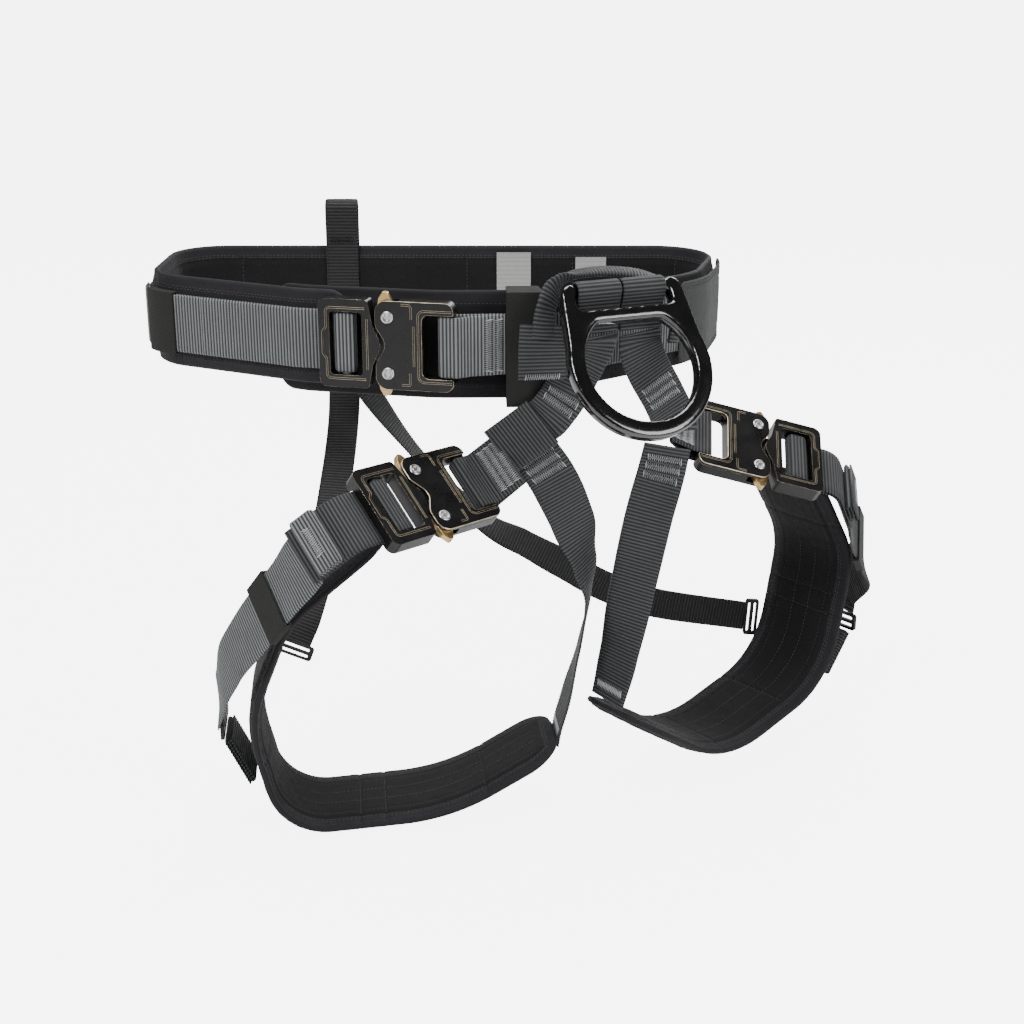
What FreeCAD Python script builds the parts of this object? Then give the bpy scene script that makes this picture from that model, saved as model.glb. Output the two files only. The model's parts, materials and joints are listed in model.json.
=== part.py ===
"""Tree climbing saddle: padded belt, large ring, two padded leg loops and three quick-release buckles.

Millimetres, +Z up, the wearer faces -Y, and the origin is the middle of the waist opening.
"right" and "left" are the wearer's sides, so the right leg loop is on the -X side.
"""
import FreeCAD, Part
import Sketcher
import math
import os

os.makedirs("parts", exist_ok=True)
doc = FreeCAD.newDocument("climbing_saddle")
Vector = FreeCAD.Vector
Rotation = FreeCAD.Rotation
Placement = FreeCAD.Placement

# ---------------------------------------------------------------- driving dimensions
sheet = doc.addObject("Spreadsheet::Sheet", "dims")
DIMENSIONS = {
    "belt_half_width": 238, "belt_back": 98, "belt_front": 110, "belt_height": 72,
    "pad_thickness": 10, "flap_thickness": 6, "webbing_width": 45, "webbing_thickness": 2.2,
    "layer_gap": 0.3, "riser_width": 35, "rear_riser_width": 27, "rear_riser_thickness": 1.8,
    "leg_pad_width": 85, "leg_pad_thickness": 10, "keeper_wall": 1.6, "lock_thickness": 3,
    "ring_outer": 56, "ring_inner": 43, "ring_thickness": 12, "ring_bar": 10, "ring_crossbar": 10,
    "ring_fit": 0.08, "plate": 3, "cavity": 6, "rivet_shank": 5, "rivet_head": 9.2, "rivet_dome": 1.2,
    "hinge_fit": 0.05, "lever_radius": 8.4, "lever_thickness": 5.4, "tongue_thickness": 5,
    "side_gap": 0.6, "adjuster_thickness": 4.4, "adjuster_width": 6, "slot_margin": 1.2,
    "haul_width": 27, "haul_rise": 38, "label_thickness": 0.5, "patch_thickness": 4.4,
}
for row, (alias, value) in enumerate(DIMENSIONS.items(), start=1):
    sheet.set("A%d" % row, alias)
    sheet.set("B%d" % row, str(value))
    sheet.setAlias("B%d" % row, alias)
doc.recompute()


def dim(alias):
    """One driving dimension, read from the sheet."""
    return float(sheet.get(alias))


# Values worked out once from the sheet.
PAD_HALF = dim("pad_thickness") / 2
WEB = dim("webbing_thickness")
GAP = dim("layer_gap")
LAYER_ONE = PAD_HALF + GAP + 0.2
LAYER_TWO = LAYER_ONE + WEB + GAP
BUCKLE_HALF = dim("plate") + dim("cavity") / 2
SLOT_HALF = dim("webbing_width") / 2 + dim("slot_margin")
RIVET_Y = dim("webbing_width") / 2 - 1.5
BUCKLE_Y = RIVET_Y + 12
TONGUE_HALF = RIVET_Y - dim("lever_radius") - dim("side_gap")
UNDER_LAYERS = 2 * WEB + GAP
LIMB_FLOOR = -2.5
OVER_Z = LIMB_FLOOR - GAP - WEB / 2
UNDER_Z = OVER_Z - WEB - GAP
BUCKLE_LIFT = LAYER_ONE + WEB / 2 - UNDER_Z


# ---------------------------------------------------------------- outlines and routes
class Route:
    """A line of straight runs and tangent arcs through corners (x, y, radius)."""

    def __init__(self, corners, closed=False):
        if closed:
            first, last = corners[0], corners[-1]
            middle = ((first[0] + last[0]) / 2, (first[1] + last[1]) / 2, 0)
            corners = [middle] + list(corners) + [middle]
        self.pieces = []
        here = Vector(corners[0][0], corners[0][1])
        for before, corner, after in zip(corners, corners[1:], corners[2:]):
            point = Vector(corner[0], corner[1])
            entry = (point - Vector(before[0], before[1])).normalize()
            leave = (Vector(after[0], after[1]) - point).normalize()
            turn = math.atan2(entry.cross(leave).z, entry.dot(leave))
            radius = corner[2]
            if abs(turn) < 1e-6 or radius == 0:
                self.add_line(here, point)
                here = point
                continue
            reach = radius * math.tan(abs(turn) / 2)
            start = point - entry * reach
            self.add_line(here, start)
            side = Vector(-entry.y, entry.x) * math.copysign(1, turn)
            centre = start + side * radius
            angle = math.atan2(start.y - centre.y, start.x - centre.x)
            self.pieces.append(("arc", centre, radius, angle, turn, radius * abs(turn)))
            here = point + leave * reach
        self.add_line(here, Vector(corners[-1][0], corners[-1][1]))
        self.length = sum(piece[-1] for piece in self.pieces)

    def add_line(self, start, end):
        if (end - start).Length > 1e-6:
            self.pieces.append(("line", start, end, (end - start).Length))

    def clipped(self, start, end):
        """The pieces between two distances along the route."""
        found = []
        passed = 0.0
        for piece in self.pieces:
            length = piece[-1]
            low = max(start - passed, 0.0)
            high = min(end - passed, length)
            if high - low > 1e-6:
                if piece[0] == "line":
                    way = (piece[2] - piece[1]).normalize()
                    found.append(("line", piece[1] + way * low, piece[1] + way * high, high - low))
                else:
                    share = piece[4] / length
                    found.append(("arc", piece[1], piece[2], piece[3] + share * low,
                                  share * (high - low), high - low))
            passed += length
        return found

    def at(self, distance):
        """The point and the unit direction at a distance along the route."""
        piece = self.clipped(distance, distance + 0.01)[0]
        if piece[0] == "line":
            return piece[1], (piece[2] - piece[1]).normalize()
        radial = Vector(math.cos(piece[3]), math.sin(piece[3]))
        way = Vector(-radial.y, radial.x) * math.copysign(1, piece[4])
        return piece[1] + radial * piece[2], way

    def strip(self, start, end, low, high):
        """Outline of a band from offset low to offset high, left of the way of travel."""
        pieces = self.clipped(start, end)
        outer = [shifted(piece, high) for piece in pieces]
        inner = [shifted(piece, low) for piece in pieces]
        geometry = [edge[0] for edge in outer + inner]
        geometry.append(Part.LineSegment(outer[0][1], inner[0][1]))
        geometry.append(Part.LineSegment(outer[-1][2], inner[-1][2]))
        return geometry


def shifted(piece, offset):
    """One piece moved sideways by an offset, with its two ends."""
    if piece[0] == "line":
        way = (piece[2] - piece[1]).normalize()
        side = Vector(-way.y, way.x) * offset
        return Part.LineSegment(piece[1] + side, piece[2] + side), piece[1] + side, piece[2] + side
    centre, radius, angle, turn = piece[1:5]
    radius -= offset * math.copysign(1, turn)
    ends = [centre + Vector(math.cos(a), math.sin(a)) * radius for a in (angle, angle + turn)]
    first, last = sorted((angle, angle + turn))
    arc = Part.ArcOfCircle(Part.Circle(centre, Vector(0, 0, 1), radius), first, last)
    return arc, ends[0], ends[1]


def loop(corners):
    """Geometry of a closed outline with rounded corners (x, y, radius)."""
    return [shifted(piece, 0)[0] for piece in Route(corners, closed=True).pieces]


def box_loop(x_low, x_high, y_low, y_high, radius=0):
    """Geometry of a rectangle with equal corner radii."""
    return loop([(x_low, y_low, radius), (x_high, y_low, radius),
                 (x_high, y_high, radius), (x_low, y_high, radius)])


# ---------------------------------------------------------------- document objects
parts = []


def body(label, placement=None):
    """A PartDesign body that becomes one sub-part."""
    made = doc.addObject("PartDesign::Body", label)
    made.Label = label
    made.Placement = placement or Placement()
    parts.append(made)
    return made


def sketch(owner, geometry, lift=0.0, role="XY_Plane"):
    """A sketch on one of the body's own origin planes, lifted along its normal."""
    made = owner.newObject("Sketcher::SketchObject", owner.Label + "_sketch")
    plane = next(item for item in owner.Origin.OriginFeatures if item.Role == role)
    made.AttachmentSupport = [(plane, "")]
    made.MapMode = "FlatFace"
    made.AttachmentOffset = Placement(Vector(0, 0, lift), Rotation())
    made.addGeometry(geometry, False)
    return made


def circles(owner, centres, size, lift=0.0):
    """A sketch of equal circles whose diameter follows the sheet or a formula on it."""
    geometry = [Part.Circle(Vector(x, y), Vector(0, 0, 1), 1.0) for x, y in centres]
    made = sketch(owner, geometry, lift)
    for index in range(len(centres)):
        made.addConstraint(Sketcher.Constraint("Diameter", index, 2.0))
        made.setExpression("Constraints[%d]" % index, size)
    return made


def pad(owner, profile, length, symmetric=False, kind="Pad"):
    """A pad or pocket whose length is an expression on the sheet."""
    made = owner.newObject("PartDesign::" + kind, owner.Label + "_" + kind.lower())
    made.Profile = profile
    made.SideType = "Symmetric" if symmetric else "One side"
    made.setExpression("Length", length)
    return made


def strip_body(label, route, start, end, low, high, width, placement=None, lift=0.0):
    """A band along a route, as wide as the expression says."""
    made = body(label, placement)
    pad(made, sketch(made, route.strip(start, end, low, high), lift), width, symmetric=True)
    return made


def feature(label, shape):
    """A Part::Feature for a shape that sketches and primitives don't make."""
    made = doc.addObject("Part::Feature", label)
    made.Label = label
    made.Shape = shape
    parts.append(made)
    return made


def section(centre, across, along, width, thickness):
    """The four corners of webbing seen end on."""
    across = (across - along * across.dot(along)).normalize()
    half = across * (width / 2)
    rise = along.cross(across) * (thickness / 2)
    return [centre - half - rise, centre + half - rise, centre + half + rise, centre - half + rise]


def flat_face(*corners):
    """A flat face on three or four corners."""
    return Part.Face(Part.makePolygon(list(corners) + [corners[0]]))


def sections(stations, width, thickness):
    """Sections along stations ((x, y, z), direction of the width)."""
    points = [Vector(*point) for point, _ in stations]
    rings = []
    for index, (_, across) in enumerate(stations):
        ahead = points[min(index + 1, len(points) - 1)]
        behind = points[max(index - 1, 0)]
        along = (ahead - behind).normalize()
        rings.append(section(points[index], Vector(*across), along, width, thickness))
    return rings


def skin(label, rings):
    """One solid in flat facets through four-cornered sections."""
    faces = [flat_face(*rings[0]), flat_face(*reversed(rings[-1]))]
    for low, high in zip(rings, rings[1:]):
        for side in range(4):
            after = (side + 1) % 4
            corners = [low[side], low[after], high[after], high[side]]
            if side > 1:  # both broad faces fold along the same way across
                corners = corners[1:] + corners[:1]
            faces.append(flat_face(*corners[:3]))
            faces.append(flat_face(corners[0], *corners[2:]))
    solid = Part.Solid(Part.Shell(faces))
    solid.fix(1e-4, 1e-4, 1e-4)
    return feature(label, solid)


def ribbon(label, stations, width, thickness):
    """Webbing that bends and twists through its stations."""
    return skin(label, sections(stations, width, thickness))


UPRIGHT = Rotation(Vector(1, 0, 0), 90)


def standing(origin, yaw):
    """A frame whose own X lies flat, own Y points up and own Z faces the front."""
    return Placement(Vector(*origin), Rotation(Vector(0, 0, 1), yaw) * UPRIGHT)


# ---------------------------------------------------------------- belt
half = dim("belt_half_width")
back = dim("belt_back")
front = -dim("belt_front")
BELT_CORNERS = [(5, front, 120), (-95, front + 22, 60), (18 - half, front + 85, 46),
                (18 - half, back, 42),
                (half, back, 45), (half - 33, front + 86, 70), (100, front + 2, 80)]
BELT = Route(BELT_CORNERS, closed=True)
WAIST_PAD_START = 112
WAIST_PAD_END = BELT.length - 18
SLIDE_END = 235
TAIL_END = SLIDE_END + 80
KEEPER_START = SLIDE_END + 26
KEEPER_SPAN = 26
BUCKLE_STATION = 78

strip_body("waist_pad", BELT, WAIST_PAD_START, WAIST_PAD_END, -PAD_HALF, PAD_HALF, "dims.belt_height")
FLAP_OUT = -PAD_HALF - GAP
FLAP_IN = FLAP_OUT - dim("flap_thickness")
FLAP_ROUTE = Route([(72, front + 1.5, 0), (5, front, 120), (-95, front + 22, 60), (-120, front + 34.5, 0)])

buckle_point, buckle_way = BELT.at(BUCKLE_STATION)
belt_out = Vector(-buckle_way.y, buckle_way.x)
waist_origin = buckle_point + belt_out * BUCKLE_LIFT
waist_yaw = math.degrees(math.atan2(-buckle_way.y, -buckle_way.x))
WAIST_FRAME = standing(waist_origin, waist_yaw)

strip_body("waist_strap", BELT, SLIDE_END + GAP, BELT.length - 8, LAYER_ONE, LAYER_ONE + WEB,
           "dims.webbing_width")
strip_body("waist_tail", BELT, SLIDE_END + GAP, TAIL_END, LAYER_TWO, LAYER_TWO + WEB,
           "dims.webbing_width")
keeper = body("waist_keeper")
wall = dim("keeper_wall")
keeper_out = LAYER_TWO + WEB + GAP
pad(keeper, sketch(keeper, BELT.strip(KEEPER_START, KEEPER_START + KEEPER_SPAN, PAD_HALF + GAP,
                                      keeper_out + wall)),
    "dims.webbing_width + 2 * dims.keeper_wall + 1", symmetric=True)
pad(keeper, sketch(keeper, BELT.strip(KEEPER_START - 1, KEEPER_START + KEEPER_SPAN + 1, 0, keeper_out)),
    "dims.webbing_width + 1", symmetric=True, kind="Pocket")

BAND_END = BELT.length - 5
BAND_SPAN = 26
FLAP_DROP = 4
strip_body("front_flap", FLAP_ROUTE, 0, FLAP_ROUTE.length, FLAP_IN, FLAP_OUT,
           "dims.belt_height + 10", Placement(Vector(0, 0, -FLAP_DROP), Rotation()))
band = body("front_keeper", Placement(Vector(0, 0, -FLAP_DROP), Rotation()))
band_in = FLAP_IN - GAP
band_out = LAYER_TWO + WEB + GAP
pad(band, sketch(band, BELT.strip(BAND_END - BAND_SPAN, BAND_END, band_in - wall, band_out + wall)),
    "dims.belt_height + 2 * dims.keeper_wall + 11", symmetric=True)
pad(band, sketch(band, BELT.strip(BAND_END - BAND_SPAN - 1, BAND_END + 1, band_in, band_out)),
    "dims.belt_height + 11", symmetric=True, kind="Pocket")

PANEL_START = BELT.length * 0.76
strip_body("side_panel", BELT, PANEL_START, PANEL_START + 112, LAYER_ONE + WEB + GAP,
           LAYER_ONE + WEB + GAP + 1.4, "dims.belt_height - 8")

# Haul loop: a doubled webbing arch over the top edge at the back.
HAUL_X = -82
haul_in = back - PAD_HALF - GAP - WEB / 2
haul_out = back + PAD_HALF + GAP + 0.2 + WEB + GAP + WEB / 2
haul_top = dim("belt_height") / 2 + dim("haul_rise")
HAUL = Route([(haul_in, -18, 0), (haul_in, haul_top, 7), (haul_out, haul_top, 7), (haul_out, -30, 0)])
HAUL_FRAME = Placement(Vector(HAUL_X, 0, 0), Rotation(Vector(0, 0, 1), 90) * UPRIGHT)
strip_body("haul_loop", HAUL, 0, HAUL.length, -WEB / 2, WEB / 2, "dims.haul_width", HAUL_FRAME)

labels = body("labels")
label_face = back - PAD_HALF - GAP
label_frame = Placement(Vector(0, label_face, 0), UPRIGHT)
labels.Placement = label_frame
for x_low, x_high, z_low, z_high in ((49, 78, -3, 31), (116, 142, 12, 27)):
    pad(labels, sketch(labels, box_loop(x_low, x_high, z_low, z_high, 1)), "dims.label_thickness")

# ---------------------------------------------------------------- ring and its slings
RING_CENTRE = Vector(153, -157.6, -6.5)
RING_YAW = 24
RING_LEAN = 35
RING_FRAME = Placement(RING_CENTRE, Rotation(Vector(0, 0, 1), RING_YAW)
                       * Rotation(Vector(1, 0, 0), 90 - RING_LEAN))
ring_out = dim("ring_outer")
ring_in = dim("ring_inner")
bar_radius = dim("ring_bar") / 2
CROSS_LOW = ring_in * 0.8
CROSS_HIGH = CROSS_LOW + dim("ring_crossbar")
SLING_HALF = dim("riser_width") + 0.5
POST_IN = SLING_HALF + 2.5
POST_OUT = POST_IN + 10
BAR_Y = CROSS_HIGH + 11 + bar_radius

ring = body("d_ring", RING_FRAME)
SHOULDER = 0.32
side_x = ring_out * math.cos(SHOULDER)
side_y = ring_out * math.sin(SHOULDER)
top_y = BAR_Y + bar_radius
outline = [Part.ArcOfCircle(Part.Circle(Vector(0, 0), Vector(0, 0, 1), ring_out),
                            math.pi - SHOULDER, 2 * math.pi + SHOULDER)]
rim = Route([(side_x, side_y, 0), (POST_OUT, top_y, 9), (-POST_OUT, top_y, 9), (-side_x, side_y, 0)])
outline += [shifted(piece, 0)[0] for piece in rim.pieces]
cut_angle = math.asin(CROSS_LOW / ring_in)
cut_x = ring_in * math.cos(cut_angle)
opening = [Part.ArcOfCircle(Part.Circle(Vector(0, 0), Vector(0, 0, 1), ring_in),
                            math.pi - cut_angle, 2 * math.pi + cut_angle),
           Part.LineSegment(Vector(cut_x, CROSS_LOW), Vector(-cut_x, CROSS_LOW))]
slot = box_loop(-POST_IN, POST_IN, CROSS_HIGH, top_y + 1, 0)
pad(ring, sketch(ring, outline + opening), "dims.ring_thickness", symmetric=True)
pad(ring, sketch(ring, slot), "dims.ring_thickness + 2", symmetric=True, kind="Pocket")
bar = ring.newObject("PartDesign::AdditiveCylinder", "ring_top_bar")
bar.setExpression("Radius", "dims.ring_bar / 2")
bar.Height = 2 * POST_IN + 2
bar.AttachmentOffset = Placement(Vector(-POST_IN - 1, BAR_Y, 0), Rotation(Vector(0, 1, 0), 90))
bar.AttachmentSupport = [(next(f for f in ring.Origin.OriginFeatures if f.Role == "XY_Plane"), "")]
bar.MapMode = "FlatFace"

EYE_WALL = 2.4
EYE_OUT = bar_radius + dim("ring_fit") + EYE_WALL
SLING_REACH = 16.5
SLING_TAIL = 31
SLING_NECK = 2.6


def sling(label, low):
    """A webbing eye round the ring's top bar, with its sewn neck hanging straight down."""
    across_ring = Rotation(Vector(0, 1, 0), Vector(0, 0, 1), Vector(1, 0, 0), "ZXY")
    made = body(label, RING_FRAME * Placement(Vector(low, BAR_Y, 0), across_ring))
    lean = math.radians(RING_LEAN)
    down = Vector(-math.cos(lean), -math.sin(lean))
    side = Vector(-down.y, down.x)
    angle = math.asin(EYE_OUT / math.hypot(SLING_REACH, SLING_NECK)) - math.atan2(SLING_NECK, SLING_REACH)
    touch = [side * (math.cos(angle) * EYE_OUT * sign) + down * (math.sin(angle) * EYE_OUT)
             for sign in (1, -1)]
    necks = [down * distance + side * (SLING_NECK * sign)
             for distance, sign in ((SLING_REACH, 1), (SLING_TAIL, 1), (SLING_TAIL, -1), (SLING_REACH, -1))]
    path = [touch[0]] + necks + [touch[1]]
    edges = [Part.LineSegment(a, b) for a, b in zip(path, path[1:])]
    edges.append(Part.Arc(touch[1], down * -EYE_OUT, touch[0]))
    hole = Part.Circle(Vector(0, 0), Vector(0, 0, 1), bar_radius + dim("ring_fit"))
    pad(made, sketch(made, edges + [hole]), "dims.riser_width")
    return made


sling("right_sling", -SLING_HALF)
sling("left_sling", SLING_HALF - dim("riser_width"))


# ---------------------------------------------------------------- quick-release buckle
def buckle(name, frame):
    """One two-part buckle: own X runs from the male part to the housing, own Z faces out."""
    gap_y = BUCKLE_Y - RIVET_Y
    pivots = [(0, RIVET_Y), (0, -RIVET_Y)]
    left = -9.3
    right = 49.7
    slot_left = 26
    bar_left = 42.4
    cavity_floor = -dim("cavity") / 2
    plate_outline = [(right, -BUCKLE_Y, 7), (right, -SLOT_HALF, 1.5), (slot_left, -SLOT_HALF, 5),
                     (slot_left, SLOT_HALF, 5), (right, SLOT_HALF, 1.5), (right, BUCKLE_Y, 7),
                     (left, BUCKLE_Y, 9), (left, RIVET_Y - 7, 7), (left + 8.8, 0, 10),
                     (left, 7 - RIVET_Y, 7), (left, -BUCKLE_Y, 9)]

    front_plate = body(name + "_housing_front", frame)
    pad(front_plate, sketch(front_plate, loop(plate_outline), dim("cavity") / 2), "dims.plate")
    pad(front_plate, circles(front_plate, pivots, "dims.rivet_shank + 0.1"),
        "2 * dims.cavity + 2 * dims.plate", symmetric=True, kind="Pocket")

    back_plate = body(name + "_housing_back", frame)
    pad(back_plate, sketch(back_plate, loop(plate_outline), -BUCKLE_HALF), "dims.plate")
    stop = 12
    wall_y = BUCKLE_Y - 4
    walls = loop([(8, -BUCKLE_Y, 0), (right, -BUCKLE_Y, 7), (right, BUCKLE_Y, 7), (8, BUCKLE_Y, 0),
                  (8, wall_y, 0), (stop, wall_y, 0), (stop, -wall_y, 0), (8, -wall_y, 0)])
    walls += box_loop(slot_left, bar_left, -SLOT_HALF, SLOT_HALF, 1)
    pad(back_plate, sketch(back_plate, walls, cavity_floor), "dims.cavity")
    pad(back_plate, circles(back_plate, pivots, "dims.rivet_shank + 0.1"),
        "2 * dims.cavity + 2 * dims.plate", symmetric=True, kind="Pocket")

    rivets = body(name + "_rivets", frame)
    pad(rivets, circles(rivets, pivots, "dims.rivet_shank"), "dims.cavity + 2 * dims.plate",
        symmetric=True)
    pad(rivets, circles(rivets, pivots, "dims.rivet_head", BUCKLE_HALF), "dims.rivet_dome")
    pad(rivets, circles(rivets, pivots, "dims.rivet_head", -BUCKLE_HALF - dim("rivet_dome")),
        "dims.rivet_dome")

    for place, sign in (("upper", 1), ("lower", -1)):
        lever = body(name + "_lever_" + place, frame)
        centre = (0, sign * RIVET_Y)
        arm = [(-7.6, 1, 0), (-8.6, 6, 4), (-7.5, gap_y + 1, 6), (-4.2, gap_y + 6.6, 2),
               (-0.6, gap_y + 5.2, 2), (2.4, gap_y - 0.8, 3), (6, 5, 2), (4, 0, 0)]
        arm = [(x, sign * (RIVET_Y + y), radius) for x, y, radius in arm]
        pad(lever, circles(lever, [centre], "2 * dims.lever_radius"), "dims.lever_thickness",
            symmetric=True)
        pad(lever, sketch(lever, loop(arm)), "dims.lever_thickness", symmetric=True)
        pad(lever, circles(lever, [centre], "dims.rivet_shank + 2 * dims.hinge_fit"),
            "2 * dims.lever_thickness", symmetric=True, kind="Pocket")

    male = body(name + "_male_frame", frame)
    far = -52.8
    slot_far = -44.4
    slot_near = -19.3
    nose = [(far, -BUCKLE_Y, 6), (-15, -BUCKLE_Y, 3), (-11.3, 6.5 - RIVET_Y, 6), (-4.6, 0, 12),
            (-11.3, RIVET_Y - 6.5, 6), (-15, BUCKLE_Y, 3), (far, BUCKLE_Y, 6)]
    pad(male, sketch(male, loop(nose)), "dims.cavity + 2 * dims.plate", symmetric=True)
    pad(male, sketch(male, box_loop(slot_near, 10.5, -TONGUE_HALF, TONGUE_HALF, 2)),
        "dims.tongue_thickness", symmetric=True)
    pad(male, sketch(male, box_loop(slot_far, slot_near, -SLOT_HALF, SLOT_HALF, 3)),
        "2 * dims.cavity + 2 * dims.plate", symmetric=True, kind="Pocket")
    relief = pad(male, sketch(male, box_loop(far - 1, slot_far + 1, -SLOT_HALF, SLOT_HALF),
                              LIMB_FLOOR), "dims.cavity + dims.plate", kind="Pocket")
    relief.Reversed = False
    grooves = sketch(male, box_loop(-40.5, -26.5, -SLOT_HALF - 4, SLOT_HALF + 4))
    pad(male, grooves, "dims.adjuster_thickness + 1.2", symmetric=True, kind="Pocket")

    adjuster = body(name + "_adjuster_bar", frame)
    wide = dim("adjuster_width") / 2
    pad(adjuster, sketch(adjuster, box_loop(-33.5 - wide, -33.5 + wide, -SLOT_HALF - 3.5,
                                            SLOT_HALF + 3.5)), "dims.adjuster_thickness",
        symmetric=True)


def flat_in(frame):
    """The frame in which a strip is drawn through a buckle, seen along the buckle's long side."""
    return frame * Placement(Vector(), UPRIGHT)


ADJUSTER_WRAP = [(-43.2, OVER_Z, 2), (-39.6, 3.6, 2.4), (-27.2, 3.6, 3), (-27.2, UNDER_Z, 3)]
HOUSING_WRAP = [(60, OVER_Z, 6), (51.5, 4.4, 2.4), (38.5, 4.4, 2.4), (38.5, UNDER_Z, 3)]

buckle("waist", WAIST_FRAME)


def in_buckle(points, frame):
    """Plan points of a level buckle's own X and Z corners."""
    return [tuple(frame.multVec(Vector(x, 0, z)))[:2] + (radius,) for x, z, radius in points]


def beside(before, corner, after, offset):
    """A belt corner moved out to a layer's middle line, with the layer's own bend."""
    point = Vector(corner[0], corner[1])
    entry = (point - Vector(before[0], before[1])).normalize()
    leave = (Vector(after[0], after[1]) - point).normalize()
    normal = Vector(-entry.y - leave.y, entry.x + leave.x).normalize()
    share = math.cos(entry.getAngle(leave) / 2)
    moved = point + normal * (offset / share)
    return (moved.x, moved.y, corner[2] + offset)


def out_from_belt(distance, offset):
    """A plan point at an offset from the belt's middle line."""
    point, way = BELT.at(distance)
    return (point.x - way.y * offset, point.y + way.x * offset, 0)


def through(label, points, width, placement):
    """Webbing drawn along its whole route, as one strip."""
    route = Route(points)
    return strip_body(label, route, 0, route.length, -WEB / 2, WEB / 2, width, placement)


# Webbing on the waist buckle: both layers leave along the belt's own line.
one = LAYER_ONE + WEB / 2
two = LAYER_TWO + WEB / 2
bend = BELT_CORNERS[0:3]
through("waist_strap_slide", [out_from_belt(SLIDE_END, two), beside(*bend, two)]
        + in_buckle(ADJUSTER_WRAP, WAIST_FRAME)
        + [beside(*bend, one), out_from_belt(SLIDE_END, one)], "dims.webbing_width", Placement())
LOOP_END = BELT.length - 4.4
through("waist_buckle_loop", [out_from_belt(LOOP_END, two)] + in_buckle(HOUSING_WRAP, WAIST_FRAME)
        + [out_from_belt(LOOP_END, one)], "dims.webbing_width", Placement())

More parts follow.
